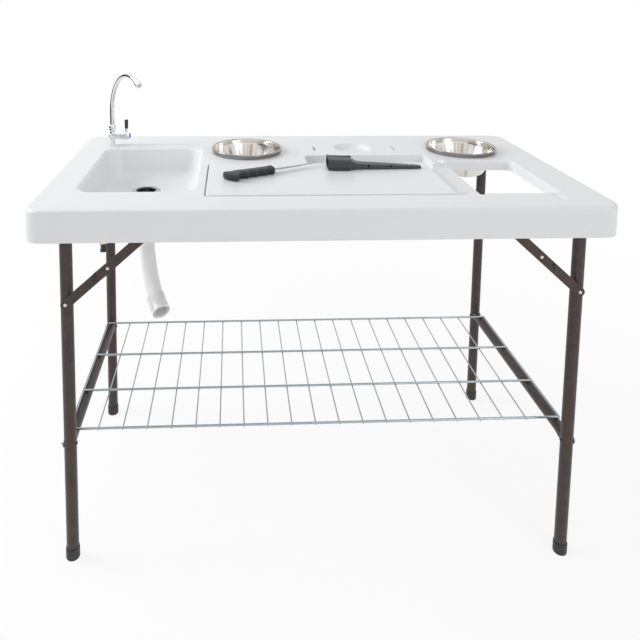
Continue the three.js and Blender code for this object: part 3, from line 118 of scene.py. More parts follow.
@dataclass(frozen=True)
class Plan:
    """A rectangle with round corners seen from above, in millimetres."""

    left: float
    right: float
    front: float
    back: float
    corner: float

    def at(self, z: float, grow: float) -> Station:
        """The rectangle grown on all sides, at a height."""
        return Station(z, (self.right - self.left) / 2 + grow, (self.back - self.front) / 2 + grow,
                       (self.left + self.right) / 2, (self.front + self.back) / 2)

    def drawn(self, name: str, levels: Sequence[tuple[float, float]], steps: int, base: float = 0.0) -> Piece:
        """A closed body through levels of height and growth.

        Args:
            name: The piece's name.
            levels: Height and growth pairs, from one end to the other.
            steps: Facets of each corner.
            base: What the heights are measured from.

        Returns:
            The new piece.
        """
        stations = [self.at(base + z, grow) for z, grow in levels]
        return Bench.drawn(name, stations, self.corner + levels[0][1], steps)


class Bench:
    """The workbench: Blender's own tools, used on one piece at a time."""

    @staticmethod
    def pick(*pieces: Piece) -> None:
        """Selects only these pieces."""
        active = bpy.context.view_layer.objects.active
        if active is not None and active.mode != "OBJECT":
            bpy.ops.object.mode_set(mode="OBJECT")
        bpy.ops.object.select_all(action="DESELECT")
        for piece in pieces:
            piece.select_set(True)
        if pieces:
            bpy.context.view_layer.objects.active = pieces[0]

    @staticmethod
    def enter(piece: Piece, kind: str = "VERT") -> None:
        """Opens a piece for shaping with all of it selected."""
        Bench.pick(piece)
        bpy.ops.object.mode_set(mode="EDIT")
        bpy.ops.mesh.select_mode(type=kind)
        bpy.ops.mesh.select_all(action="SELECT")

    @staticmethod
    def leave() -> None:
        """Closes the piece being shaped."""
        bpy.ops.object.mode_set(mode="OBJECT")

    @staticmethod
    def name(name: str) -> Piece:
        """Names the piece just made, and returns it."""
        piece = bpy.context.active_object
        piece.name = name
        piece.data.name = name
        return piece

    @staticmethod
    def apply(piece: Piece, kind: str, **settings: object) -> Piece:
        """Adds a modifier, sets it and applies it.

        Args:
            piece: The piece to finish.
            kind: The modifier's type.
            **settings: Its values.

        Returns:
            The same piece.
        """
        modifier = piece.modifiers.new(kind.title(), kind)
        for key, value in settings.items():
            setattr(modifier, key, value)
        Bench.pick(piece)
        bpy.ops.object.modifier_apply(modifier=modifier.name)
        return piece

    @staticmethod
    def cut(piece: Piece, *tools: Piece, operation: str = "DIFFERENCE") -> Piece:
        """Cuts tools out of a piece one after another, and clears them away."""
        for tool in tools:
            Bench.apply(piece, "BOOLEAN", operation=operation, solver="EXACT", object=tool)
            bpy.data.objects.remove(tool)
        return piece

    @staticmethod
    def fuse(piece: Piece, *tools: Piece) -> Piece:
        """Adds tools to a piece one after another."""
        return Bench.cut(piece, *tools, operation="UNION")

    @staticmethod
    def blunt(piece: Piece, width: float, angle: float) -> Piece:
        """Breaks the edges sharper than an angle in degrees, by a width in millimetres."""
        return Bench.apply(piece, "BEVEL", width=width * MM, segments=2, limit_method="ANGLE",
                           angle_limit=math.radians(angle))

    @staticmethod
    def join(name: str, *pieces: Piece) -> Piece:
        """Joins pieces into one object."""
        Bench.pick(*pieces)
        bpy.ops.object.join()
        return Bench.name(name)

    @staticmethod
    def settle(piece: Piece, place: Matrix | None) -> Piece:
        """Puts a piece in its place, if it has one, and leaves its origin at the frame's."""
        if place is None:
            return piece
        piece.matrix_world = place
        Bench.pick(piece)
        bpy.ops.object.transform_apply(location=True, rotation=True, scale=True)
        if place.determinant() < 0:
            Bench.outward(piece)
        return piece

    @staticmethod
    def outward(piece: Piece) -> Piece:
        """Merges doubles and turns all faces outwards."""
        Bench.enter(piece)
        bpy.ops.mesh.remove_doubles(threshold=WELD)
        bpy.ops.mesh.normals_make_consistent(inside=False)
        Bench.leave()
        return piece

    @staticmethod
    def copy(piece: Piece, name: str, place: Matrix | None = None) -> Piece:
        """A copy with a mesh of its own, moved by a matrix."""
        Bench.pick(piece)
        bpy.ops.object.duplicate(linked=False)
        return Bench.settle(Bench.name(name), place)

    @staticmethod
    def drawn(name: str, stations: Sequence[Station], corner: float | None = None, steps: int = FINE,
              place: Matrix | None = None) -> Piece:
        """Draws a closed body through cross-sections by extruding and resizing its end face.

        Args:
            name: The piece's name.
            stations: The cross-sections in order.
            corner: Corner radius of a rectangular section, or None for a round one.
            steps: Facets of a corner, or of the whole round.
            place: Where it goes, or None to leave it at the origin.

        Returns:
            The new piece.
        """
        first = stations[0]
        middle = (first.cx * MM, first.cy * MM, first.z * MM)
        Bench.pick()
        if corner is None:
            bpy.ops.mesh.primitive_circle_add(vertices=steps, radius=1.0, fill_type="NGON")
        else:
            bpy.ops.mesh.primitive_plane_add(size=2.0)
        piece = Bench.name(name)
        Bench.enter(piece)
        bpy.ops.transform.resize(value=(first.x * MM, first.y * MM, 1.0), center_override=(0, 0, 0))
        if corner is not None:
            bpy.ops.mesh.bevel(offset=corner * MM, segments=steps, affect="VERTICES")
            bpy.ops.mesh.select_all(action="SELECT")
        bpy.ops.transform.translate(value=middle)
        bpy.ops.mesh.select_mode(type="FACE")
        bpy.ops.mesh.select_all(action="SELECT")
        for last, station in zip(stations, stations[1:]):
            move = Vector((station.cx - last.cx, station.cy - last.cy, station.z - last.z)) * MM
            bpy.ops.mesh.extrude_region_move(TRANSFORM_OT_translate={"value": move})
            bpy.ops.transform.resize(value=(station.x / last.x, station.y / last.y, 1.0),
                                     center_override=(station.cx * MM, station.cy * MM, station.z * MM))
        bpy.ops.mesh.select_all(action="SELECT")
        bpy.ops.mesh.normals_make_consistent(inside=False)
        Bench.leave()
        return Bench.settle(piece, place)

    @staticmethod
    def turned(name: str, profile: Profile, steps: int, place: Matrix | None = None,
               base: float = 0.0) -> Piece:
        """Spins a line of radius, height and optional fillet round Z into a closed body.

        Args:
            name: The piece's name.
            profile: The line's points; a line that starts off the axis is closed on itself.
            steps: Facets round the axis.
            place: Where it goes, or None to leave it at the origin.
            base: What the profile's heights are measured from.

        Returns:
            The new piece.
        """
        line = softened([(radius, base + z, *fillet) for radius, z, *fillet in profile])
        if line[0][0] > 0:
            line.append(line[0])
        Bench.pick()
        bpy.ops.mesh.primitive_plane_add(size=MM)
        piece = Bench.name(name)
        Bench.enter(piece)
        bpy.ops.mesh.merge(type="CENTER")
        bpy.ops.transform.translate(value=(line[0][0] * MM, 0, line[0][1] * MM))
        for last, point in zip(line, line[1:]):
            step = ((point[0] - last[0]) * MM, 0, (point[1] - last[1]) * MM)
            bpy.ops.mesh.extrude_region_move(TRANSFORM_OT_translate={"value": step})
        bpy.ops.mesh.select_all(action="SELECT")
        bpy.ops.mesh.spin(steps=steps, angle=2 * math.pi, center=(0, 0, 0), axis=(0, 0, 1))
        Bench.leave()
        return Bench.settle(Bench.outward(piece), place)

    @staticmethod
    def tube(name: str, path: Sequence[Vector], radius: float, sides: int, capped: bool = True) -> Piece:
        """A round tube along points, in millimetres.

        Args:
            name: The piece's name.
            path: The points of its middle line.
            radius: Its outer radius.
            sides: Facets round it, a multiple of four.
            capped: Whether its ends are closed.

        Returns:
            The new piece.
        """
        line = bpy.data.curves.new(name, "CURVE")
        line.dimensions = "3D"
        spline = line.splines.new("POLY")
        spline.points.add(len(path) - 1)
        for point, place in zip(spline.points, path):
            point.co = (*(place * MM), 1.0)
        line.bevel_depth = radius * MM
        line.bevel_resolution = sides // 4 * 2 - 2
        line.use_fill_caps = capped
        piece = bpy.data.objects.new(name, line)
        bpy.context.scene.collection.objects.link(piece)
        Bench.pick(piece)
        bpy.ops.object.convert(target="MESH")
        return Bench.outward(Bench.name(name))

    @staticmethod
    def smooth(piece: Piece, angle: float, weighted: bool) -> None:
        """Shades a piece smooth, with its real edges kept sharp."""
        Bench.pick(piece)
        bpy.ops.object.shade_smooth_by_angle(angle=math.radians(angle))
        if weighted:
            Bench.apply(piece, "WEIGHTED_NORMAL", keep_sharp=True, weight=60)


def softened(profile: Profile, steps: int = 4) -> list[tuple[float, float]]:
    """Rounds the corners of a profile.

    Args:
        profile: Points of radius, height and, where the corner is round, its fillet.
        steps: Facets of each fillet.

    Returns:
        The profile's points with each fillet's arc in place of its corner.
    """
    line: list[tuple[float, float]] = []
    for i, point in enumerate(profile):
        here = Vector(point[:2])
        fillet = point[2] if len(point) > 2 else 0.0
        if fillet <= 0 or i in (0, len(profile) - 1):
            line.append((here.x, here.y))
            continue
        back = Vector(profile[i - 1][:2]) - here
        ahead = Vector(profile[i + 1][:2]) - here
        reach = min(fillet, back.length * 0.48, ahead.length * 0.48)
        start = here + back.normalized() * reach
        end = here + ahead.normalized() * reach
        for k in range(steps + 1):
            t = k / steps
            spot = start * (1 - t) ** 2 + here * 2 * t * (1 - t) + end * t ** 2
            line.append((spot.x, spot.y))
    return line


def quarter_arc(z0: float, z1: float, pull0: float, pull1: float,
                steps: int = 6) -> list[tuple[float, float]]:
    """Levels of a rounded edge that starts upright and ends level.

    Args:
        z0: Height at the start.
        z1: Height at the end.
        pull0: Growth at the start.
        pull1: Growth at the end.
        steps: Facets of the arc.

    Returns:
        Height and growth pairs.
    """
    turns = [QUARTER * k / steps for k in range(steps + 1)]
    return [(z0 + (z1 - z0) * math.sin(a), pull0 + (pull1 - pull0) * (1 - math.cos(a))) for a in turns]


def along_x(x: float, y: float, z: float, sign: int = 1) -> Matrix:
    """Lays a piece drawn along Z along X instead, or against it, at a point in millimetres."""
    return shifted(x, y, z) @ Matrix.Rotation(QUARTER * sign, 4, "Y")


def along_y(x: float = 0.0, y: float = 0.0, z: float = 0.0) -> Matrix:
    """Lays a piece drawn along Z along Y instead, at a point in millimetres."""
    return shifted(x, y, z) @ Matrix.Rotation(-QUARTER, 4, "X")


def shifted(x: float, y: float, z: float = 0.0) -> Matrix:
    """A move in millimetres."""
    return Matrix.Translation(Vector((x, y, z)) * MM)


def eased(share: float) -> float:
    """A share of the way that starts and ends softly."""
    return share * share * (3 - 2 * share)


MIRROR_Y = Matrix.Scale(-1, 4, (0, 1, 0))
LAID_FLAT = Matrix(((0, 0, 1, 0), (0, 1, 0, 0), (-1, 0, 0, 0), (0, 0, 0, 1)))


def add_node(tree: Tree, kind: str, values: dict[str | int, object], **settings: object) -> bpy.types.Node:
    """Adds a node to a tree, with its inputs joined to sockets or set to values.

    Args:
        tree: The node tree.
        kind: The node's type, without the words before it.
        values: A socket or a value for each input, by its name or number.
        **settings: Values of the node itself.

    Returns:
        The new node.
    """
    node = tree.nodes.new(f"ShaderNode{kind}")
    for key, value in settings.items():
        setattr(node, key, value)
    for key, value in values.items():
        if isinstance(value, Socket):
            tree.links.new(value, node.inputs[key])
        else:
            node.inputs[key].default_value = value
    return node


class Shader:
    """A material's node tree, built step by step."""

    def __init__(self, name: str, values: dict[str, object]) -> None:
        """Starts a material, with values for the inputs of its Principled shader."""
        self.material = bpy.data.materials.new(name)
        self.material.use_nodes = True
        self.tree = self.material.node_tree
        self.principled = self.tree.nodes["Principled BSDF"]
        for key, value in values.items():
            self.principled.inputs[key].default_value = value

    def effect(self, group: Tree, values: dict[str, float]) -> dict[str, Socket]:
        """Places a shared effect in the material with its own values, and gives its outputs."""
        return add_node(self.tree, "Group", values, node_tree=group).outputs

    def link(self, source: Socket, target: str) -> None:
        """Joins a source to an input of the shader."""
        self.tree.links.new(source, self.principled.inputs[target])

    def span(self, mask: Socket, low: float, high: float) -> Socket:
        """Maps a mask to a range of values."""
        node = add_node(self.tree, "MapRange", {"Value": mask, "To Min": low, "To Max": high})
        return node.outputs["Result"]

    def between(self, mask: Socket, first: Socket | Colour, second: Colour) -> Socket:
        """Mixes a colour, or another mix, with a colour by a mask."""
        if isinstance(first, tuple):
            first = (*first, 1.0)
        return add_node(self.tree, "Mix", {0: mask, 6: first, 7: (*second, 1.0)}, data_type="RGBA").outputs[2]

    def blend(self, mask: Socket, first: Socket, second: float) -> Socket:
        """Mixes a value with a fixed one by a mask."""
        return add_node(self.tree, "Mix", {0: mask, 2: first, 3: second}).outputs[0]

    def bump(self, height: Socket, depth: float) -> None:
        """Raises the surface by a height, in metres."""
        node = add_node(self.tree, "Bump", {"Height": height, "Distance": depth, "Strength": 1.0})
        self.link(node.outputs["Normal"], "Normal")


class Effects:
    """The node groups that more than one finish uses, each built once."""

    soft, fine, sharp = 2.0, 3.0, 4.0
    brushed_clouds, spun_clouds = 14.0, 22.0
    _made: dict[str, Tree] = {}

    @classmethod
    def _group(cls, name: str, inputs: dict[str, float], outputs: Sequence[str],
               wire: Callable[[Tree, dict[str, Socket], Socket], Iterator[Socket]]) -> Tree:
        """Builds a group of float inputs and outputs, unless it is there.

        Args:
            name: The group's name.
            inputs: Its input names and first values.
            outputs: Its output names.
            wire: Takes the tree, its inputs and the place on the piece, and gives what each output shows.

        Returns:
            The group.
        """
        if name not in cls._made:
            tree = bpy.data.node_groups.new(name, "ShaderNodeTree")
            for key, value in inputs.items():
                socket = tree.interface.new_socket(key, in_out="INPUT", socket_type="NodeSocketFloat")
                socket.default_value = value
            for key in outputs:
                tree.interface.new_socket(key, in_out="OUTPUT", socket_type="NodeSocketFloat")
            source = tree.nodes.new("NodeGroupInput").outputs
            target = tree.nodes.new("NodeGroupOutput").inputs
            place = add_node(tree, "TexCoord", {}).outputs["Object"]
            for key, result in zip(outputs, wire(tree, source, place)):
                tree.links.new(result, target[key])
            cls._made[name] = tree
        return cls._made[name]

    @staticmethod
    def _noise(tree: Tree, place: Socket, scale: Socket | float, detail: float) -> Socket:
        """A noise on a place, at a fixed or linked scale."""
        return add_node(tree, "TexNoise", {"Vector": place, "Scale": scale, "Detail": detail}).outputs["Fac"]

    @staticmethod
    def _joined(tree: Tree, axes: dict[str, Socket]) -> Socket:
        """One vector from a value for each axis."""
        return add_node(tree, "CombineXYZ", axes).outputs["Vector"]

    @classmethod
    def _reach(cls, tree: Tree, source: dict[str, Socket], place: Socket) -> tuple[Socket, Socket]:
        """Distance from the group's upright centre line, and height."""
        centre = cls._joined(tree, {"X": source["Centre X"], "Y": source["Centre Y"]})
        local = add_node(tree, "VectorMath", {0: place, 1: centre}, operation="SUBTRACT").outputs["Vector"]
        split = add_node(tree, "SeparateXYZ", {"Vector": local}).outputs
        flat = cls._joined(tree, {"X": split["X"], "Y": split["Y"]})
        return add_node(tree, "VectorMath", {0: flat}, operation="LENGTH").outputs["Value"], split["Z"]

    @classmethod
    def grain(cls) -> Tree:
        """Fine even grain with slow clouds: moulded plastic, powder coat, rubber."""
        def wire(tree: Tree, source: dict[str, Socket], place: Socket) -> Iterator[Socket]:
            yield cls._noise(tree, place, source["Fineness"], cls.fine)
            yield cls._noise(tree, place, source["Cloudiness"], cls.soft)
        return cls._group("fine_grain", {"Fineness": 900.0, "Cloudiness": 6.0}, MARKS, wire)

    @classmethod
    def brushed(cls) -> Tree:
        """Long straight marks along one axis of the piece."""
        def wire(tree: Tree, source: dict[str, Socket], place: Socket) -> Iterator[Socket]:
            scale = cls._joined(tree, {axis: source[f"Marks {axis}"] for axis in "XYZ"})
            stretched = add_node(tree, "VectorMath", {0: place, 1: scale}, operation="MULTIPLY")
            yield cls._noise(tree, stretched.outputs["Vector"], 1.0, cls.sharp)
            yield cls._noise(tree, place, cls.brushed_clouds, cls.soft)
        return cls._group("straight_marks", {f"Marks {axis}": 900.0 for axis in "XYZ"}, MARKS, wire)

    @classmethod
    def spun(cls) -> Tree:
        """Rings round an upright line, as a spinning tool leaves them."""
        def wire(tree: Tree, source: dict[str, Socket], place: Socket) -> Iterator[Socket]:
            reach, height = cls._reach(tree, source, place)
            yield cls._noise(tree, cls._joined(tree, {"X": reach, "Y": height}), source["Rings"], cls.fine)
            yield cls._noise(tree, place, cls.spun_clouds, cls.soft)
        return cls._group("spun_rings", {**CENTRE, "Rings": 900.0}, MARKS, wire)

    @classmethod
    def zone(cls) -> Tree:
        """A mask that goes from zero to one between two distances from an upright line; finishes use it to
        place painted shade.
        """
        def wire(tree: Tree, source: dict[str, Socket], place: Socket) -> Iterator[Socket]:
            reach, _ = cls._reach(tree, source, place)
            yield add_node(tree, "MapRange", {"Value": reach, "From Min": source["Start"],
                                              "From Max": source["End"]}).outputs["Result"]
        return cls._group("round_zone", {**CENTRE, "Start": 0.0, "End": 1.0}, ("Mask",), wire)


@dataclass(frozen=True)
class Zone:
    """A round area of a piece, seen from above, painted darker as painted shade.

    Args:
        start: Distance from the middle at which it begins, in millimetres.
        end: Distance from which it is full.
        colour: Its painted shade colour, linear.
        rough: Its roughness.
    """

    start: float
    end: float
    colour: Colour
    rough: float


@dataclass(frozen=True)
class Finish:
    """One finish of the stand, and how its surface varies.

    Args:
        name: The material's name.
        colour: Its linear colour.
        second: The colour that its clouds lean to.
        rough: Roughness where the clouds are low.
        rough_top: Roughness where they are high.
        metal: Metallic value.
        pattern: How its fine marks run.
        fineness: Marks for each metre.
        depth: Height of the marks in metres.
        clouds: Clouds for each metre.
        coat: Weight of a clear coat.
        specular: The shader's specular level.
        slot: A material slot's name; not used.
        centre: Middle of spun rings, in millimetres.
        marks: Straight marks for each metre along the three axes.
        zone: A round area painted darker as painted shade, or None.
        glow: How deep light goes into the plastic, from 0 to 1.
    """

    name: str
    colour: Colour
    second: Colour
    rough: float
    rough_top: float
    metal: float = 0.0
    pattern: Pattern = Pattern.GRAIN
    fineness: float = 900.0
    depth: float = 0.00004
    clouds: float = 6.0
    coat: float = 0.0
    specular: float = 0.5
    slot: str = ""
    centre: tuple[float, float] = (0.0, 0.0)
    marks: tuple[float, float, float] = (40.0, 900.0, 900.0)
    zone: Zone | None = None
    glow: float = 0.0

    def _centred(self, values: dict[str, float]) -> dict[str, float]:
        """Values of an effect, with the middle of the rings."""
        return {"Centre X": self.centre[0] * MM, "Centre Y": self.centre[1] * MM, **values}

    def _marks(self, shader: Shader) -> dict[str, Socket]:
        """Places the pattern's group in a material."""
        if self.pattern is Pattern.SPUN:
            return shader.effect(Effects.spun(), self._centred({"Rings": self.fineness}))
        if self.pattern is Pattern.BRUSHED:
            marks = {f"Marks {axis}": count for axis, count in zip("XYZ", self.marks)}
            return shader.effect(Effects.brushed(), marks)
        return shader.effect(Effects.grain(), {"Fineness": self.fineness, "Cloudiness": self.clouds})

    def material(self) -> bpy.types.Material:
        """The finish as a material, made once."""
        if self.name in MATERIALS:
            return MATERIALS[self.name]
        shader = Shader(f"{self.name}_finish", {
            "Metallic": self.metal, "Coat Weight": self.coat, "Specular IOR Level": self.specular,
            "Subsurface Weight": self.glow, "Subsurface Scale": GLOW_DEPTH,
            "Subsurface Radius": (1.0, 1.0, 1.0)})
        MATERIALS[self.name] = shader.material
        marks = self._marks(shader)
        colour = shader.between(marks["Cloud"], self.colour, self.second)
        rough = shader.span(marks["Cloud"], self.rough, self.rough_top)
        # Painted shade: a round area of the piece takes a darker colour and a roughness of its own.
        if self.zone is not None:
            ends = {"Start": self.zone.start * MM, "End": self.zone.end * MM}
            mask = shader.effect(Effects.zone(), self._centred(ends))["Mask"]
            colour = shader.between(mask, colour, self.zone.colour)
            rough = shader.blend(mask, rough, self.zone.rough)
        shader.link(colour, "Base Color")
        shader.link(rough, "Roughness")
        shader.bump(marks["Height"], self.depth)
        return shader.material

    def dress(self, piece: Piece) -> None:
        """Gives a piece this finish in place of what it has."""
        piece.data.materials.clear()
        piece.data.materials.append(self.material())


class Finishes:
    """All finishes of the stand."""

    top = Finish("table_plastic", (0.815, 0.83, 0.855), (0.842, 0.855, 0.876), 0.34, 0.46, fineness=1100.0,
                 depth=0.00002, clouds=9.0, specular=0.45)
    board = Finish("board_plastic", (0.80, 0.825, 0.86), (0.84, 0.86, 0.89), 0.28, 0.4,
                   pattern=Pattern.BRUSHED, marks=(25.0, 420.0, 420.0), depth=0.00001, specular=0.45)
    # Painted shade: the bowls' rolled rim and the outer band below it are painted dark grey, standing in for
    # the shade under the lip and between bowl and top, with a painted dark reflection.
    rim = Zone(82.5, 83.4, (0.36, 0.35, 0.345), 0.24)
    left_bowl = Finish("bowl_steel", (0.68, 0.64, 0.605), (0.80, 0.77, 0.74), 0.13, 0.22, 1.0, Pattern.SPUN,
                       300.0, 0.00003, centre=LEFT_BOWL, zone=rim)
    right_bowl = replace(left_bowl, name="bowl_steel_right", slot="bowl_steel", centre=RIGHT_BOWL)
    # Painted shade: inside 23.2 mm of the middle the drain's throat and cross are painted nearly black,
    # standing in for the shade down the hole.
    drain = Finish("drain_steel", (0.60, 0.60, 0.61), (0.70, 0.70, 0.71), 0.22, 0.34, 1.0, Pattern.SPUN,
                   900.0, 0.00003, centre=DRAIN, zone=Zone(24.4, 23.2, (0.06, 0.06, 0.072), 0.42))
    band = Finish("band_steel", (0.55, 0.55, 0.56), (0.65, 0.65, 0.66), 0.25, 0.36, 1.0, fineness=900.0,
                  depth=0.00002, clouds=60.0, slot="drain_steel")
    chrome = Finish("faucet_chrome", (0.74, 0.76, 0.80), (0.80, 0.82, 0.85), 0.04, 0.08, 1.0, fineness=500.0,
                    depth=0.000002, clouds=40.0)
    zinc = Finish("zinc_wire", (0.34, 0.38, 0.41), (0.46, 0.50, 0.53), 0.26, 0.4, 1.0, fineness=700.0,
                  depth=0.00002, clouds=70.0)
    head = Finish("rivet_zinc", (0.62, 0.60, 0.56), (0.72, 0.70, 0.66), 0.24, 0.36, 1.0, fineness=900.0,
                  depth=0.00001, clouds=90.0, slot="zinc_wire")
    coat = Finish("brown_coat", (0.024, 0.015, 0.012), (0.080, 0.056, 0.047), 0.26, 0.46, fineness=1300.0,
                  depth=0.00008, clouds=60.0, specular=0.42)
    black = Finish("black_plastic", (0.016, 0.016, 0.019), (0.028, 0.028, 0.032), 0.40, 0.55, fineness=1600.0,
                   depth=0.00005, clouds=40.0)
    sheath = Finish("sheath_plastic", (0.036, 0.037, 0.043), (0.052, 0.053, 0.060), 0.38, 0.52,
                    fineness=1300.0, depth=0.00005, clouds=30.0, slot="black_plastic")
    blue = Finish("blue_plastic", (0.02, 0.04, 0.46), (0.03, 0.06, 0.52), 0.16, 0.24, fineness=400.0,
                  depth=0.000005, clouds=60.0, coat=0.5)
    brass = Finish("brass_metal", (0.74, 0.56, 0.36), (0.82, 0.66, 0.46), 0.2, 0.32, 1.0, fineness=1200.0,
                   depth=0.00002, clouds=90.0)
    rubber = Finish("seal_rubber", (0.018, 0.018, 0.019), (0.03, 0.03, 0.031), 0.7, 0.85, fineness=1800.0,
                    depth=0.00006, clouds=50.0)
    hose = Finish("hose_plastic", (0.95, 0.935, 0.945), (0.97, 0.96, 0.965), 0.24, 0.36, fineness=250.0,
                  depth=0.00003, clouds=30.0, coat=0.15, glow=0.5)
    cuff = Finish("cuff_plastic", (0.98, 0.965, 0.97), (0.99, 0.98, 0.98), 0.16, 0.26, fineness=300.0,
                  depth=0.00002, clouds=30.0, coat=0.3, slot="hose_plastic", glow=0.6)
    blade = Finish("blade_steel", (0.22, 0.23, 0.24), (0.30, 0.31, 0.32), 0.2, 0.3, 1.0, Pattern.BRUSHED,
                   marks=(700.0, 60.0, 700.0), depth=0.00001)


def hand_over(piece: Piece, body: str, finish: Finish, *nodes: str, angle: float = 32.0,
              weighted: bool = True) -> None:
    """Finishes a piece: its shading, material, body and the nodes that it stands for.

    Args:
        piece: The modelled piece.
        body: The body that it rides on.
        finish: Its finish.
        *nodes: The frame's nodes that it replaces.
        angle: The sharpest angle shaded smooth, in degrees.
        weighted: Whether flat faces keep their own normals.
    """
    finish.dress(piece)
    Bench.smooth(piece, angle, weighted)
    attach(piece, body)
    finish.slot or finish.name
    if nodes:
        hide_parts(*nodes)
    LOG.info("%s: %d faces on %s", piece.name, len(piece.data.polygons), body)


def both_rows(piece: Piece, body: str, finish: Finish, node: str = "") -> None:
    """Finishes a piece of the back row and its mirrored copy in the front row.

    Args:
        piece: The piece of the back row.
        body: The body that both ride on.
        finish: Their finish.
        node: The frame's nodes that they replace, without the row's name.
    """
    front = Bench.copy(piece, piece.name.replace("_back", "_front"), MIRROR_Y)
    for made, row in ((piece, Row.BACK), (front, Row.FRONT)):
        hand_over(made, body, finish, *([f"{node}_{row.label}"] if node else []))


@dataclass
class Camera:
    """The photographer's camera, solved from the stand's corners, legs, rivets and bowls."""

    place: tuple[float, float, float] = (-0.1845, -1.4753, 1.1803)
    yaw: float = 0.05166
    pitch: float = -0.10844
    roll: float = 0.0096
    focal: float = 649.86
    middle: tuple[float, float] = (265.72, 56.57)
    picture: float = 640.0
    sensor: float = 36.0

    def build(self) -> None:
        """Adds the camera and makes it the scene's own."""
        ahead = Vector((math.sin(self.yaw) * math.cos(self.pitch), math.cos(self.yaw) * math.cos(self.pitch),
                        math.sin(self.pitch)))
        level = Vector((math.cos(self.yaw), -math.sin(self.yaw), 0.0))
        upright = level.cross(ahead)
        right = level * math.cos(self.roll) + upright * math.sin(self.roll)
        up = upright * math.cos(self.roll) - level * math.sin(self.roll)
        turn = Matrix((right, up, -ahead)).transposed()
        data = bpy.data.cameras.new("photo_camera")
        data.sensor_fit = "HORIZONTAL"
        data.sensor_width = self.sensor
        data.lens = self.focal / self.picture * self.sensor
        data.shift_x = (self.picture / 2 - self.middle[0]) / self.picture
        data.shift_y = (self.middle[1] - self.picture / 2) / self.picture
        camera = bpy.data.objects.new("photo_camera", data)
        camera.matrix_world = Matrix.Translation(self.place) @ turn.to_4x4()
        bpy.context.scene.collection.objects.link(camera)
        bpy.context.scene.camera = camera


@dataclass
class DrainHose:
    """The waste hose: straight down from the spigot, then a bend towards the front."""

    top: float = 667.4
    straight: float = 92.0
    bend_radius: float = 158.0
    bend: float = 66.0
    heading: float = -63.0
    radius: float = 18.4
    wall: float = 1.63
    cuff_length: float = 46.0
    cuff_radius: float = 20.66
    cuff_wall: float = 0.9
    steps: int = 60
    cuff_steps: int = 14

    def spot(self, run: float) -> Vector:
        """The point of the middle line at a distance from the spigot, in millimetres."""
        angle = max(run - self.straight, 0.0) / self.bend_radius
        out = self.bend_radius * (1 - math.cos(angle))
        turn = math.radians(self.heading)
        return Vector((DRAIN[0] + out * math.cos(turn), DRAIN[1] + out * math.sin(turn),
                       self.top - min(run, self.straight) - self.bend_radius * math.sin(angle)))

    @property
    def length(self) -> float:
        """The hose's length in millimetres."""
        return self.straight + self.bend_radius * math.radians(self.bend)

    def _pipe(self, name: str, line: Sequence[Vector], radius: float, wall: float) -> Piece:
        """An open pipe along points, with blunt ends."""
        pipe = Bench.tube(name, line, radius, ROUND, capped=False)
        Bench.apply(pipe, "SOLIDIFY", thickness=wall * MM, offset=-1.0, use_rim=True)
        return Bench.blunt(pipe, 0.35, 50)

    def build(self) -> None:
        line = [self.spot(self.length * k / self.steps) for k in range(self.steps + 1)]
        hose = self._pipe("drain_hose_pipe", line, self.radius, self.wall)
        start = self.length - self.cuff_length
        end = [self.spot(start + self.cuff_length * k / self.cuff_steps) for k in range(self.cuff_steps + 1)]
        cuff = self._pipe("hose_end_cuff", end, self.cuff_radius, self.cuff_wall)
        hand_over(hose, "table", Finishes.hose, "drain_hose", angle=50)
        hand_over(cuff, "table", Finishes.cuff, "hose_cuff", angle=50)
        tuple(self.spot(0) * MM)


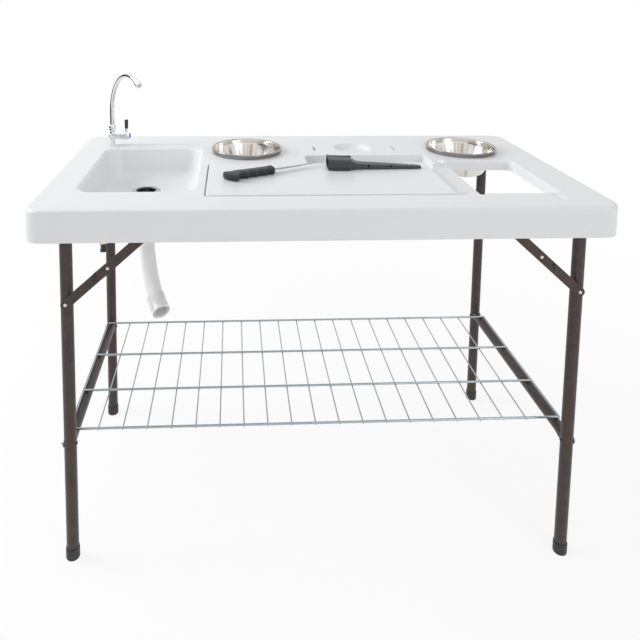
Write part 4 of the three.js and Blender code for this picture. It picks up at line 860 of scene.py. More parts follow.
@dataclass
class WorkTop:
    """The moulded top with its basin, recesses, holes and hollow underside."""

    plan: Plan = Plan(-571.5, 571.5, -300.0, 300.0, 32.0)
    foot: float = 702.0
    underside: float = 741.0
    edge: float = 6.0
    skirt: float = 11.0
    basin: Plan = Plan(-503.0, -257.0, -191.5, 172.5, 40.0)
    basin_inset: float = 8.0
    basin_draft: float = 7.0
    basin_fillet: float = 24.0
    shell: float = 4.0
    ledge: Plan = Plan(-476.0, -262.0, -9.5, 206.0, 10.0)
    recess: Plan = Plan(-240.0, 336.0, -222.0, 12.0, 12.0)
    pocket: Plan = Plan(-6.0, 294.0, -4.0, 86.0, 16.0)
    opening: Plan = Plan(330.0, 490.0, -214.0, 30.0, 14.0)
    cup: tuple[float, float] = (127.0, 161.0)
    dimples: tuple[tuple[float, float, float], ...] = (
        (311.0, 29.0, TOP), (474.0, 50.0, TOP), (474.0, -236.0, TOP), (305.0, -190.0, 755.0))
    slits: tuple[float, ...] = (27.0, 233.0)
    slit_half: float = 2.5
    tie_pits: tuple[int, int] = (4, 3)
    high: float = 2.0

    def build(self) -> None:
        """Builds, cuts and dresses the top."""
        top = self._blank()
        Bench.cut(top, self._hollow())
        Bench.fuse(top, self._basin("basin_tub", self.shell, self.underside + 2, BASIN_FLOOR - self.shell))
        Bench.cut(top, *self._forms(), *self._holes())
        hand_over(top, "table", Finishes.top, "table_top", angle=34)

    def _blank(self) -> Piece:
        """The top as one rounded slab."""
        levels = [(self.foot, -1.6), (self.foot + 0.5, -0.6), (self.foot + 1.6, 0.0)]
        return self.plan.drawn("worktop", levels + quarter_arc(TOP - self.edge, TOP, 0.0, -self.edge), 12)

    def _hollow(self) -> Piece:
        """The space inside the skirt, with a soft inner corner."""
        foot, skirt = self.foot, self.skirt
        levels = [(foot - 2, 2.6 - skirt), (foot + 0.4, 2.4 - skirt), (foot + 1.6, 1.8 - skirt)]
        levels += quarter_arc(self.underside - 5, self.underside, -skirt, -skirt - 5, 4)
        return self.plan.drawn("hollow", levels, 10)

    def _basin(self, name: str, grow: float, top: float, bottom: float) -> Piece:
        """The basin's form, grown by its shell or cut as its hollow."""
        radius = self.basin_fillet + grow
        foot = self.basin_inset + self.basin_draft - grow
        levels = [(top, grow - self.basin_inset)]
        if grow == 0:
            levels = [(TOP + 2, -5.2), (TOP - 2.9, -5.2), (TOP - 3.7, -6.4), (TOP - 5.6, -7.6)]
        levels += quarter_arc(bottom + radius, bottom, -foot, -foot - radius, 8)
        return self.basin.drawn(name, levels, 10)

    def _rim(self, share: float = 1.0) -> list[tuple[float, float]]:
        """The soft upper edge of a recess, measured from the top."""
        return [(-1.1, 0.0), (-0.3, 0.35 * share), (0.0, 1.1 * share), (self.high, 1.1 * share)]

    def _forms(self) -> Iterator[Piece]:
        """All rectangles that are cut from the top, one after another."""
        low, rim = self.underside - TOP, self._rim()
        lip = [(-3, -6.5), (-2.9, -4.6), (-2.2, -3.4), (-0.9, -1.7), (-0.2, 0.0), (0, 1.2), (2, 1.2)]
        well = [(low - 2, 1.4), (low, 1.4), (low + 1.4, 0.0), (-3.2, 0.0), (-2.2, 0.3), (-1, 1.0),
                (-0.3, 2.0), (0, 3.2), (2, 3.2)]
        yield self._basin("basin_hollow", 0.0, TOP + 2, BASIN_FLOOR)
        for name, plan, steps, levels in (
                ("basin_lip", self.basin, 10, lip),
                ("soap_ledge", self.ledge, 6, [(-2, -1.2), (-1.7, -0.4), *rim]),
                ("board_recess", self.recess, 8, [(-10, -1.6), (-9.5, -0.5), (-8.4, 0.0), *rim]),
                ("finger_pocket", self.pocket, 8, [(-18, -3.4), (-17.2, -1.2), (-15, 0.0), *rim]),
                ("waste_opening", self.opening, 8, well)):
            yield plan.drawn(name, levels, steps, TOP)

    def _holes(self) -> Iterator[Piece]:
        """All dimples, slits, holes and pits that are cut from the top, one after another."""
        low, high = self.underside - TOP, self.high
        for x, y, z in self.dimples:
            yield Bench.turned("dimple", [
                (0, -3.4), (9.6, -3.4, 1.8), (12.8, -0.6, 0.8), (14.4, 0), (14.4, high), (0, high)], SMALL,
                shifted(x, y), z)
        for x in self.slits:
            slit = Plan(x - self.slit_half, x + self.slit_half, 134.0, 176.0, 2.3)
            yield slit.drawn("knife_slit", [(low - 2, 0.0), *self._rim(0.7)], 4, TOP)
        yield Bench.turned("cup_recess", [
            (0, -12), (43.2, -12, 3), (45.6, -9, 2), (46.8, -1.4, 0.8), (48.2, 0), (48.2, high),
            (0, high)], WIDE, shifted(*self.cup), TOP)
        for spot in (LEFT_BOWL, RIGHT_BOWL):
            yield Bench.turned("bowl_hole", [
                (0, low - 2), (82.4, low - 2), (82.4, -3, 1.2), (84.0, -0.9, 1.5), (86.2, 0), (86.2, high),
                (0, high)], 96, shifted(*spot), TOP)
        yield Bench.turned("drain_hole", [
            (0, -8), (24.6, -8), (24.6, 2), (0, 2)], MEDIUM, shifted(*DRAIN), BASIN_FLOOR)
        yield Bench.turned("shank_hole", [
            (0, low - 2), (8.1, low - 2), (8.1, high), (0, high)], FINE, shifted(*TAP), TOP)
        columns, rows = self.tie_pits
        for k in range(columns * rows):
            yield Bench.turned("tie_pit", [
                (0, -2), (12.2, -2), (12.2, 0), (10.6, 0.8, 0.6), (6, 7, 1.5), (0, 7)], 20,
                shifted(120 * (k // rows) - 190, 72 * (k % rows) - 190), self.underside)


@dataclass
class CuttingBoard:
    """The lift-out board."""

    plan: Plan = Plan(-236.5, 272.0, -219.5, 9.0, 10.0)
    low: float = 755.3
    high: float = 766.5
    edge: float = 1.6

    def build(self) -> None:
        """Builds and dresses the board."""
        upper = quarter_arc(self.high - self.edge, self.high, 0.0, -self.edge, 4)
        levels = [(self.low + self.high - z, grow) for z, grow in reversed(upper)] + upper
        hand_over(self.plan.drawn("board", levels, 8), "board", Finishes.board, "cutting_board")


@dataclass
class Bowl:
    """A spun steel bowl with a stepped foot and a rolled rim; its heights count from its base."""

    side: End
    spot: tuple[float, float]
    finish: Finish
    base: float = 705.0
    rim: float = 72.0
    rim_radius: float = 88.0
    belly: float = 62.0
    neck: float = 82.1
    seat: float = 57.0
    sheet: float = 1.2

    def build(self) -> None:
        """Spins and dresses the bowl."""
        rim, sheet = self.rim, self.sheet
        outer = [(0, 1.6), (41, 1.6, 0.8), (42.6, 0, 0.8), (47, 1.4, 1.6), (57, 4.2, 6), (self.belly, 13, 8),
                 (self.neck, self.seat), (83.6, rim - 8, 2), (84.2, rim - 5.2, 0.8), (86.6, rim - 5.0, 1.2),
                 (self.rim_radius, rim - 3.4, 1.2), (self.rim_radius, rim - 1.4, 1.2), (86.6, rim, 1.2)]
        inner = [
            (84.6, rim - 0.4, 1.2), (82.2, rim - 2.6, 1.6), (81.9, rim - 7, 2),
            (self.neck - sheet, self.seat), (self.belly - sheet, 13.8, 8), (55.8, 5.8, 6), (45.5, 3.0, 2.4),
            (42, 2.9), (0, 2.9)]
        node = f"bowl_{self.side.label}"
        bowl = Bench.turned(f"steel_{node}", outer + inner, 128, shifted(*self.spot), self.base)
        hand_over(bowl, node, self.finish, node, angle=40, weighted=False)


@dataclass
class Tap:
    """The tap: base flange, cast body with side arm, lever, gooseneck and nozzle."""

    deck: float = 765.3
    arm: float = 790.0
    hub: float = 27.3
    lever: float = 35.8
    straight_top: float = 855.0
    bend_radius: float = 104.0
    turn: float = 56.8
    bend: float = 115.0
    end: float = 8.0
    tube: float = 5.9
    steps: int = 40

    def __post_init__(self) -> None:
        """Finds the directions in which the gooseneck bends over and the water leaves."""
        turn, bend = math.radians(self.turn), math.radians(self.bend)
        self.heading = Vector((math.cos(turn), -math.sin(turn), 0))
        self.aim = self.heading * math.sin(bend) + Vector((0, 0, math.cos(bend)))

    def route(self) -> list[Vector]:
        """The gooseneck's middle line, in millimetres."""
        base = Vector((*TAP, 0))
        line = [base + Vector((0, 0, z)) for z in (811.3, 826, 841)]
        for k in range(self.steps + 1):
            angle = math.radians(self.bend) * k / self.steps
            line.append(base + self.heading * self.bend_radius * (1 - math.cos(angle))
                        + Vector((0, 0, self.straight_top + self.bend_radius * math.sin(angle))))
        return line + [line[-1] + self.aim * self.end]

    def build(self) -> None:
        """Builds and dresses every piece of the tap."""
        flange = Bench.turned("tap_flange", [
            (6.9, 0), (13.5, 0), (13.5, 1.6, 0.9), (10.6, 2.8, 1.6), (8.0, 4.3, 0.8), (6.9, 4.3)], MEDIUM,
            shifted(*TAP), self.deck)
        hand_over(flange, "table", Finishes.chrome, "faucet_flange")
        self._body()
        self._lever()
        self._spout()

    def _body(self) -> None:
        """The post, its collar and the side arm."""
        post = Bench.turned("tap_body", [
            (0, 0), (6.6, 0), (6.6, 9, 0.6), (7.3, 10, 0.5), (7.3, 12.5, 0.5), (6.6, 13.5, 0.6),
            (6.6, 37.2, 1.2), (8.2, 39.3, 0.8), (8.2, 44.8, 0.7), (7.4, 45.7, 0.3), (0, 45.7)], ROUND,
            shifted(*TAP), self.deck)
        arm = Bench.turned("tap_arm", [
            (0, -9.2), (5.4, -9.2, 1.6), (7.6, -6.6, 1.4), (8.0, 0, 1), (8.0, 21.4, 0.4), (9.0, 22, 0.5),
            (9.0, 26.4, 0.5), (8.4, 27), (0, 27)], ROUND, along_x(*TAP, self.arm))
        hand_over(Bench.fuse(post, arm), "table", Finishes.chrome, "faucet_body")

    def _lever(self) -> None:
        """The valve hub with its lever, grip and cap."""
        x, y = TAP
        hub = Bench.turned("valve_hub", [
            (0, 0), (9.2, 0, 0.6), (10.2, 2.6, 0.8), (10.2, 13.4, 1.6), (8.4, 16.8, 1.2), (6.2, 17, 0.4),
            (6.0, 15.8), (0, 15.8)], MEDIUM, along_x(x + self.hub, y, self.arm))
        neck = Bench.turned("lever_neck", [
            (0, 0), (4.6, 0), (4.4, 10.5, 1.2), (3.4, 13, 1.2), (3.4, 17.2, 0.4), (4.0, 18.2, 0.4), (4.0, 19),
            (0, 19)], SMALL, shifted(x + self.lever, y, self.arm))
        hand_over(Bench.fuse(hub, neck), "tap_lever", Finishes.chrome, "lever_hub")
        grip = Bench.turned("lever_grip_sleeve", [
            (0, 0), (4.0, 0, 0.5), (4.6, 3, 2), (4.1, 9, 4), (4.7, 17, 3), (5.0, 20, 2), (3.6, 23, 1.8),
            (0, 23)], SMALL, shifted(x + self.lever, y), self.arm + 19.3)
        hand_over(grip, "tap_lever", Finishes.black, "lever_grip")
        cap = Bench.turned("cold_cap", [(0, 0), (5.9, 0), (5.9, 1.6, 0.8), (4.4, 3.2, 1.6), (0, 3.9)], SMALL,
                           along_x(x + self.hub + 16.1, y, self.arm))
        hand_over(cap, "tap_lever", Finishes.blue, "index_button")

    def _spout(self) -> None:
        """The gooseneck with its nut and nozzle."""
        line = self.route()
        tube = Bench.tube("gooseneck", line, self.tube, ROUND)
        hand_over(tube, "spout", Finishes.chrome, "spout_tube", angle=50)
        nut = Bench.drawn("gooseneck_nut", [Station(z, r, r) for z, r in (
            (811.4, 8.4), (811.9, 9.0), (813.6, 9.0), (814.0, 8.6), (814.6, 8.6), (815.0, 9.0), (816.8, 9.0),
            (818.2, 7.6), (819.2, 6.9))])
        bore = Bench.drawn("bore", [Station(z, 6.25, 6.25) for z in (810, 820.5)])
        Bench.settle(Bench.cut(nut, bore), shifted(*TAP))
        hand_over(nut, "table", Finishes.chrome, "spout_nut")
        place = Matrix.Translation(line[-1] * MM) @ self.aim.to_track_quat("Z", "Y").to_matrix().to_4x4()
        nozzle = Bench.turned("nozzle", [
            (4.6, 9.2), (4.6, 1.2), (6.2, 0.4), (6.4, -5.5), (7.6, -5.5, 0.5), (8.4, -3.2, 0.8),
            (8.4, 0.4, 0.3), (8.0, 0.8, 0.3), (8.0, 1.6, 0.3), (8.4, 2.0, 0.3), (8.4, 8.0, 0.8),
            (7.6, 9.2, 0.4)], ROUND, place)
        sieve = Bench.turned("sieve", [
            (0, 6.2), (4.7, 6.2), (4.7, 7), (3.6, 7, 0.2), (3.4, 7.5, 0.2), (2.4, 7.5, 0.2), (2.2, 7, 0.2),
            (0, 7.6)], SMALL, place)
        hand_over(nozzle, "spout", Finishes.chrome, "spout_nozzle")
        hand_over(sieve, "spout", Finishes.band)


@dataclass
class SupplyTail:
    """The fittings below the tap: shank, washer, lock nut, tail pipe, brass nut and hose connector."""

    top: float = 715.7
    end: tuple[float, float, float] = (-521.0, 190.0, 520.0)
    radius: float = 5.0
    nut_height: float = 16.3
    steps: int = 32

    def route(self) -> list[Vector]:
        """The tail pipe's middle line, in millimetres."""
        start, way = Vector((*TAP, self.top)), Vector(self.end) - Vector((*TAP, self.top))
        shares = [k / self.steps for k in range(self.steps + 1)]
        return [start + Vector((way.x * eased(t), way.y * eased(t), way.z * t)) for t in shares]

    def build(self) -> None:
        """Builds and dresses the tail."""
        tail = Bench.tube("supply_pipe", self.route(), self.radius, SMALL)
        hand_over(tail, "table", Finishes.chrome, "tail_pipe", angle=50)
        here = shifted(*self.end[:2])
        top = self.end[2] - 0.3
        nut = Bench.drawn("supply_nut", [Station(top + z, r, r) for z, r in (
            (-16, 11.2), (-15, 12.2), (-8.2, 12.2), (-7.2, 11.4))], None, 6)
        collar = Bench.turned("supply_collar", [(0, -10), (10.4, -10), (10.4, -6.6, 1.2), (8.2, -4.6, 1.2),
                                                (7.6, -0.4, 0.4), (0, -0.4)], ROUND, None, top)
        bore = Bench.turned("supply_bore", [(0, -28), (4.0, -28), (4.0, 2), (0, 2)], FINE, None, top)
        Bench.cut(Bench.fuse(nut, collar), bore)
        Bench.blunt(nut, 0.3, 40)
        hand_over(Bench.settle(nut, here), "table", Finishes.brass, "tail_nut")
        plug = Bench.turned("quick_connector", [
            (4.0, -22), (9.0, -22, 0.8), (9.0, -16.6, 0.9), (7.8, -15, 0.7), (7.6, -12, 0.3),
            (7.0, -11.4, 0.3), (7.0, -10.2, 0.3), (7.6, -9.6, 0.3), (7.8, -4.6, 0.6), (8.8, -2.6, 0.7),
            (8.8, 0, 0.6), (4.0, 0)], ROUND, here, top - self.nut_height)
        hand_over(plug, "table", Finishes.black, "hose_connector")
        for node, finish in (("faucet_shank", Finishes.brass), ("shank_washer", Finishes.rubber),
                             ("lock_nut", Finishes.brass)):
            finish.dress(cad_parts[node])


@dataclass
class Drain:
    """The drain: flange with its cross, gasket, ribbed nut and hose clamp."""

    nut_top: float = -7.6
    clamp: float = -35.0
    ribs: int = 8

    def build(self) -> None:
        """Builds and dresses the drain; its heights count from the basin's floor."""
        here = shifted(*DRAIN)
        body = Bench.turned("drain_flange", [
            (14, -46), (15.9, -46, 0.4), (15.9, -24, 0.5), (24, -24, 0.4), (24, 0.3, 0.3), (33, 0.3, 0.2),
            (32.6, 1.2, 0.8), (30.6, 2.7, 1.2), (25.4, 2.7, 1.6), (23, 1.5, 1.2), (21, -0.8, 1.4),
            (21, -21.6, 2), (14, -22.8, 1)], WIDE, None, BASIN_FLOOR)
        bar = Plan(-22, 22, -1.8, 1.8, 1.7).drawn("cross", [
            (-6.4, -0.6), (-5.8, 0), (-3.1, 0), (-2.4, -0.6)], 4, BASIN_FLOOR)
        crossing = Bench.copy(bar, "cross_second", Matrix.Rotation(QUARTER, 4, "Z"))
        ring = Bench.turned("cross_ring", [
            (7.4, -6.2), (10.4, -6.2, 0.4), (10.4, -2.6, 0.5), (7.4, -2.6, 0.5)], ROUND, None, BASIN_FLOOR)
        Bench.fuse(body, bar, crossing, ring)
        hand_over(Bench.settle(body, here), "table", Finishes.drain, "drain_body")
        gasket = Bench.turned("drain_seal", [
            (24.3, -7.3), (31, -7.3, 0.7), (31, -4.3, 0.7), (24.3, -4.3)], WIDE, here, BASIN_FLOOR)
        hand_over(gasket, "table", Finishes.rubber, "drain_gasket")
        top = BASIN_FLOOR + self.nut_top
        nut = Bench.turned("drain_ring_nut", [
            (24.3, -11), (30, -11, 0.8), (30, 0, 0.8), (24.3, 0)], WIDE, None, top)
        ribs = []
        for k in range(self.ribs):
            rib = Plan(28.8, 32, -2, 2, 1.2).drawn("rib", [
                (-10.8, -0.5), (-10.3, 0), (-0.7, 0), (-0.2, -0.5)], 4, top)
            ribs.append(Bench.settle(rib, Matrix.Rotation(k * 2 * math.pi / self.ribs, 4, "Z")))
        hand_over(Bench.settle(Bench.fuse(nut, *ribs), here), "table", Finishes.black, "drain_nut")
        self._clamp(here)

    def _clamp(self, here: Matrix) -> None:
        """The band round the hose with its worm screw."""
        mid = BASIN_FLOOR + self.clamp
        band = Bench.turned("hose_band", [
            (19.05, -4.5), (20.2, -4.5, 0.3), (20.2, -3.6, 0.2), (19.9, -3.3, 0.2), (19.9, 3.3, 0.2),
            (20.2, 3.6, 0.2), (20.2, 4.5, 0.3), (19.05, 4.5)], WIDE, None, mid)
        housing = Plan(-7, 7, 19.6, 27, 1.6).drawn("worm_house", [
            (-4.4, -0.8), (-3.6, 0), (3.6, 0), (4.4, -0.8)], 4, mid)
        screw = Bench.turned("worm_screw", [
            (0, -9.6), (2.6, -9.6, 0.4), (2.6, -6), (2.2, -6), (2.2, 5), (0, 5)], FINE,
            along_x(0, 23.4, mid))
        hand_over(Bench.settle(Bench.fuse(band, housing, screw), here), "table", Finishes.band, "hose_clamp")


@dataclass
class LegSide:
    """What the leg frame and the braces of one end share.

    Args:
        end: The end of the stand.
        leg_y: How far each leg stands from the middle.
        pivot: Height at which the legs turn.
        leg_x: How far the legs stand out.
        radius: Outer radius of a leg.
        drop: How far below its pivot a leg's brace is riveted.
        shank: Radius of a rivet below its head.
        head: Radius of its head.
    """

    end: End
    leg_y: float
    pivot: float
    leg_x: float = 510.0
    radius: float = 12.5
    drop: float = 139.5
    shank: float = 2.8
    head: float = 3.7

    def _rivet(self, name: str, face: float, x: float, z: float, body: str) -> None:
        """A rivet's domed head in both rows, with its outer face at a depth along Y."""
        dome = Bench.turned(f"{name}_{self.end.label}_back", [
            (0, -1.5), (self.shank, -1.5), (self.shank, 0.25), (self.head, 0.3, 0.1), (self.head, 0.8, 0.6),
            (self.head * 0.66, 2.3, 1.0), (self.head * 0.3, 1.9, 0.6), (0, 1.8)], SMALL, along_y(x, 0, z),
            face)
        both_rows(dome, body, Finishes.head)


@dataclass
class LegFrame(LegSide):
    """One folding leg frame: two leg tubes with foot caps, a pressed cross bar, bolts and rivet heads."""

    bar_z: float = 256.5
    bar_radius: float = 11.0
    flat_z: float = 252.0
    flat_inset: float = 4.5
    flat_drop: float = 2.5
    flat_half: tuple[float, float] = (6.0, 11.6)
    taper: tuple[float, float] = (13.0, 36.0)
    taper_steps: int = 10
    sole: float = 4.3
    bolt_head: float = 12.8
    bolt_nut: float = -12.9

    def build(self) -> None:
        """Builds and dresses the frame's pieces, each once, with a mirrored copy."""
        label, x = self.end.label, self.leg_x * self.end.value
        body, foot = f"{label}_legs", shifted(x, self.leg_y)
        turns = [QUARTER * k / 8 for k in range(8)]
        dome = [(self.radius * math.cos(a), self.pivot + self.radius * math.sin(a)) for a in turns]
        leg = Bench.turned(f"leg_tube_{label}_back", [
            (0, self.sole), (self.radius, self.sole), *dome, (0, self.pivot + self.radius)], ROUND, foot)
        both_rows(leg, body, Finishes.coat, f"leg_{label}")
        cap = Bench.turned(f"foot_cap_{label}_back", [
            (0, 0), (13.2, 0, 0.6), (14.1, 1.4, 1.0), (14.1, 5.4, 0.3), (13.8, 5.9, 0.3), (14.1, 6.4, 0.3),
            (14.1, 22.4, 1.2), (13.4, 24, 0.4), (12.95, 24), (12.95, 4.1), (0, 4.1)], ROUND, foot)
        both_rows(cap, body, Finishes.black, f"foot_{label}")
        self._bar(label, x, body)
        self._bolts(label, x, body)
        self._rivet("leg_rivet", self.leg_y + self.radius + 2.5, x, self.pivot - self.drop, body)
        self._pins(label, x)

    def _bar(self, label: str, x: float, body: str) -> None:
        """The cross bar, round in the middle and pressed flat where it is bolted."""
        flat_x = x - self.end.value * self.flat_inset
        start, reach = (self.leg_y - back for back in self.taper)
        low, (thin, wide) = -self.flat_z - self.flat_drop, self.flat_half
        half = [Station(self.leg_y - 4, 5.0, 10.0, flat_x, low)]
        for k in range(self.taper_steps + 1):
            t = k / self.taper_steps
            ease = eased(t)
            half.append(Station(start + (reach - start) * t, thin + (self.bar_radius - thin) * ease,
                                wide + (self.bar_radius - wide) * ease, flat_x + (x - flat_x) * ease,
                                low + (-self.bar_z - low) * ease))
        other = [Station(-s.z, s.x, s.y, s.cx, s.cy) for s in reversed(half)]
        bar = Bench.drawn(f"cross_tube_{label}", half + other, None, ROUND, along_y())
        hand_over(bar, body, Finishes.coat, f"cross_bar_{label}", angle=40)

    def _bolts(self, label: str, x: float, body: str) -> None:
        """The bolt through each leg, with its domed head outside and its nut inside."""
        outer, inner = self.bolt_head, self.bolt_nut
        place = along_x(x, self.leg_y, self.flat_z, self.end.value)
        bolt = Bench.turned(f"bar_screw_{label}_back", [
            (0, inner - 1), (3, inner - 1), (3, outer), (7.6, outer, 0.2), (7.6, outer + 0.9, 0.4),
            (6.4, outer + 1.2), (5.6, outer + 3.2, 1.6), (3.4, outer + 4.6, 1.6), (0, outer + 5)], SMALL,
            place)
        nut = Bench.drawn(f"bar_nut_{label}_back", [Station(inner + z, r, r) for z, r in (
            (-1.5, 1.6), (-1.3, 2.4), (-1.0, 3.2), (-0.6, 3.6), (-0.3, 3.8), (0.6, 3.8))], None, 12, place)
        both_rows(bolt, body, Finishes.head, f"bar_bolt_{label}")
        both_rows(nut, body, Finishes.coat)

    def _pins(self, label: str, x: float) -> None:
        """The pins that the legs turn on."""
        face, tip = self.leg_y + 20.3, self.leg_y - 13.9
        pin = Bench.turned(f"pivot_stud_{label}_back", [
            (0, tip), (5.2, tip, 0.5), (5.2, tip + 1.1), (4, tip + 1.1), (4, face), (6.7, face, 0.2),
            (6.7, face + 0.5, 0.8), (4.2, face + 2.1, 1.6), (0, face + 2.4)], SMALL, along_y(x, 0,
            self.pivot))
        both_rows(pin, "table", Finishes.head, f"pivot_pin_{label}")


@dataclass
class Brace(LegSide):
    """The braces of one end: two straps, their rivets and the bracket above, at each leg."""

    inset: float = 16.0
    width: float = 19.0
    sheet: float = 2.2
    gap: float = 0.3
    tail: float = 17.0
    pivot_hole: float = 2.9
    small_hole: float = 2.4
    small_hole_back: float = 36.0
    notch_back: float = 27.0

    def __post_init__(self) -> None:
        """Solves the three pivots of the brace in the XZ plane."""
        sign = self.end.value
        self.rivet = Vector((self.leg_x * sign, self.pivot - self.drop))
        self.anchor = Vector(((self.leg_x - self.drop - self.inset) * sign, self.pivot))
        span = (self.anchor - self.rivet).length
        self.lower = (span + self.inset) / 2
        self.upper = span - self.lower
        self.knee = self.rivet.lerp(self.anchor, self.lower / span)
        self.layer = self.leg_y + self.radius + self.gap

    def build(self) -> None:
        """Builds and dresses both straps and the bracket."""
        self._lower_strap()
        self._upper_strap()
        for row in Row:
            self._bracket(f"{self.end.label}_{row.label}")

    def _strap(self, name: str, length: float) -> Piece:
        """A flat strap with round ends, raised edges and the hole of its first pivot."""
        half, t = self.width / 2, self.sheet
        plan = Plan(-half, length + half, -half, half, half - 0.1)
        levels = [(0, -0.5), (0.25, -0.15), (0.6, 0), (t - 0.6, 0), (t - 0.25, -0.15), (t, -0.5)]
        strap = plan.drawn(f"{name}_{self.end.label}_back", levels, 8)
        return Bench.cut(strap, self._hole(0, self.pivot_hole))

    def _hole(self, run: float, radius: float) -> Piece:
        """A round hole through a strap."""
        return Bench.turned("hole", [(0, -1), (radius, -1), (radius, 4), (0, 4)], FINE, shifted(run, 0))

    def _lay(self, piece: Piece, start: Vector, outer: float, link: str, finish: Finish,
             node: bool = True) -> None:
        """Lays a piece from a strap's own flat plan onto the brace, in both rows.

        Args:
            piece: The piece.
            start: The pivot that its plan starts from; it runs to the knee.
            outer: Depth of its outer face.
            link: The link that it belongs to.
            finish: Its finish.
            node: Whether it replaces the link's own nodes.
        """
        along = (self.knee - start).normalized()
        up = Vector((-along.y, along.x)) * -self.end.value
        Bench.settle(piece, Matrix(((along.x, up.x, 0, start.x * MM), (0, 0, -1, outer * MM),
                                    (along.y, up.y, 0, start.y * MM), (0, 0, 0, 1))))
        Bench.outward(piece)
        label = self.end.label
        both_rows(piece, f"{label}_{link}s", finish, f"{link}_{label}" if node else "")

    def _lower_strap(self) -> None:
        """The strap riveted to the leg, with its small hole and the notch that its tab is bent from."""
        at, outer = self.lower - self.notch_back, self.layer + self.sheet
        strap = self._strap("lower_strap", self.lower)
        notch = Plan(at - 5.6, at + 5.6, 1.8, 12.0, 0.8).drawn("notch", [(-1, 0), (4, 0)], 3)
        Bench.cut(strap, self._hole(self.lower - self.small_hole_back, self.small_hole), notch)
        plate = Plan(at - 12.4, at + 5.2, -3.4, 9.3, 0.8).drawn(f"brace_inlay_{self.end.label}_back", [
            (1.5, -0.2), (1.7, 0), (2.1, 0), (2.15, -0.2)], 3)
        Bench.fuse(plate, Plan(at - 4.2, at + 4.2, 7.6, 9.4, 0.8).drawn("tab", [
            (1.0, -0.4), (1.4, 0), (self.sheet + 2.0, 0), (self.sheet + 2.4, -0.4)], 3))
        self._lay(plate, self.rivet, outer, "lower_link", Finishes.black, node=False)
        self._lay(strap, self.rivet, outer, "lower_link", Finishes.coat)

    def _upper_strap(self) -> None:
        """The strap hung from the bracket, with the heads of the knee's and the anchor's rivets."""
        outer = self.layer + 2 * self.sheet + self.gap
        strap = self._strap("upper_strap", self.upper + self.tail)
        self._lay(strap, self.anchor, outer, "upper_link", Finishes.coat)
        self._rivet("knee_rivet", outer - 0.3, *self.knee, f"{self.end.label}_upper_links")
        self._rivet("anchor_rivet", outer + self.gap + self.sheet - 0.3, *self.anchor, "table")

    @staticmethod
    def _bracket(place: str) -> None:
        """The bracket, taken from the frame's own mesh with its edges broken."""
        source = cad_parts[f"bracket_{place}"]
        piece = bpy.data.objects.new(f"hanger_{place}", source.data.copy())
        bpy.context.scene.collection.objects.link(piece)
        Bench.enter(piece)
        bpy.ops.mesh.remove_doubles(threshold=WELD)
        bpy.ops.mesh.dissolve_limited(angle_limit=math.radians(2))
        Bench.leave()
        hand_over(Bench.blunt(piece, 0.45, 50), "table", Finishes.coat, f"bracket_{place}")


@dataclass
class WireShelf:
    """The loose shelf of welded wires on the cross bars."""

    half_length: float = 516.0
    half_width: float = 211.0
    level: float = 270.3
    thick: float = 2.5
    thin: float = 1.5
    sink: float = 0.8
    bead: float = 1.75
    inner: tuple[float, ...] = (59.0, -82.0)
    first: float = -458.0
    spacing: float = 50.2
    count: int = 19

    def _wire(self, name: str, radius: float, length: float, sides: int) -> Piece:
        """A wire with rounded ends, drawn along Z from its middle."""
        h = length / 2
        half = [Station(z - h, radius * share, radius * share)
                for z, share in ((0.0, 0.5), (radius * 0.35, 0.86), (radius, 1.0))]
        return Bench.drawn(name, half + [Station(-s.z, s.x, s.y) for s in reversed(half)], None, sides)

    def build(self) -> None:
        """Builds and dresses the shelf."""
        rods = [self.half_width, *self.inner, -self.half_width]
        ends = (-self.half_length, self.half_length)
        xs = [self.first + k * self.spacing for k in range(self.count)]
        cross_z = self.level - self.thick - self.thin + self.sink
        mid = (self.level - self.thick + cross_z + self.thin) / 2
        long = self._wire("long_wire", self.thick, 2 * self.half_length + 5, 16)
        short = self._wire("end_wire", self.thick, 2 * self.half_width + 5, 16)
        thin = self._wire("cross_wire", self.thin, 2 * self.half_width + 3, 12)
        Bench.pick()
        bpy.ops.mesh.primitive_ico_sphere_add(subdivisions=1, radius=self.bead * MM)
        weld = Bench.name("weld")
        parts = [Bench.copy(long, "wire", along_x(0, y, self.level)) for y in rods]
        parts += [Bench.copy(short, "wire", along_y(x, 0, self.level)) for x in ends]
        parts += [Bench.copy(thin, "wire", along_y(x, 0, cross_z)) for x in xs]
        parts += [Bench.copy(weld, "weld", shifted(x, y, mid)) for x in xs for y in rods]
        for spare in (long, short, thin, weld):
            bpy.data.objects.remove(spare)
        shelf = Bench.join("welded_shelf", *parts)
        hand_over(shelf, "shelf", Finishes.zinc, "wire_shelf", angle=60, weighted=False)


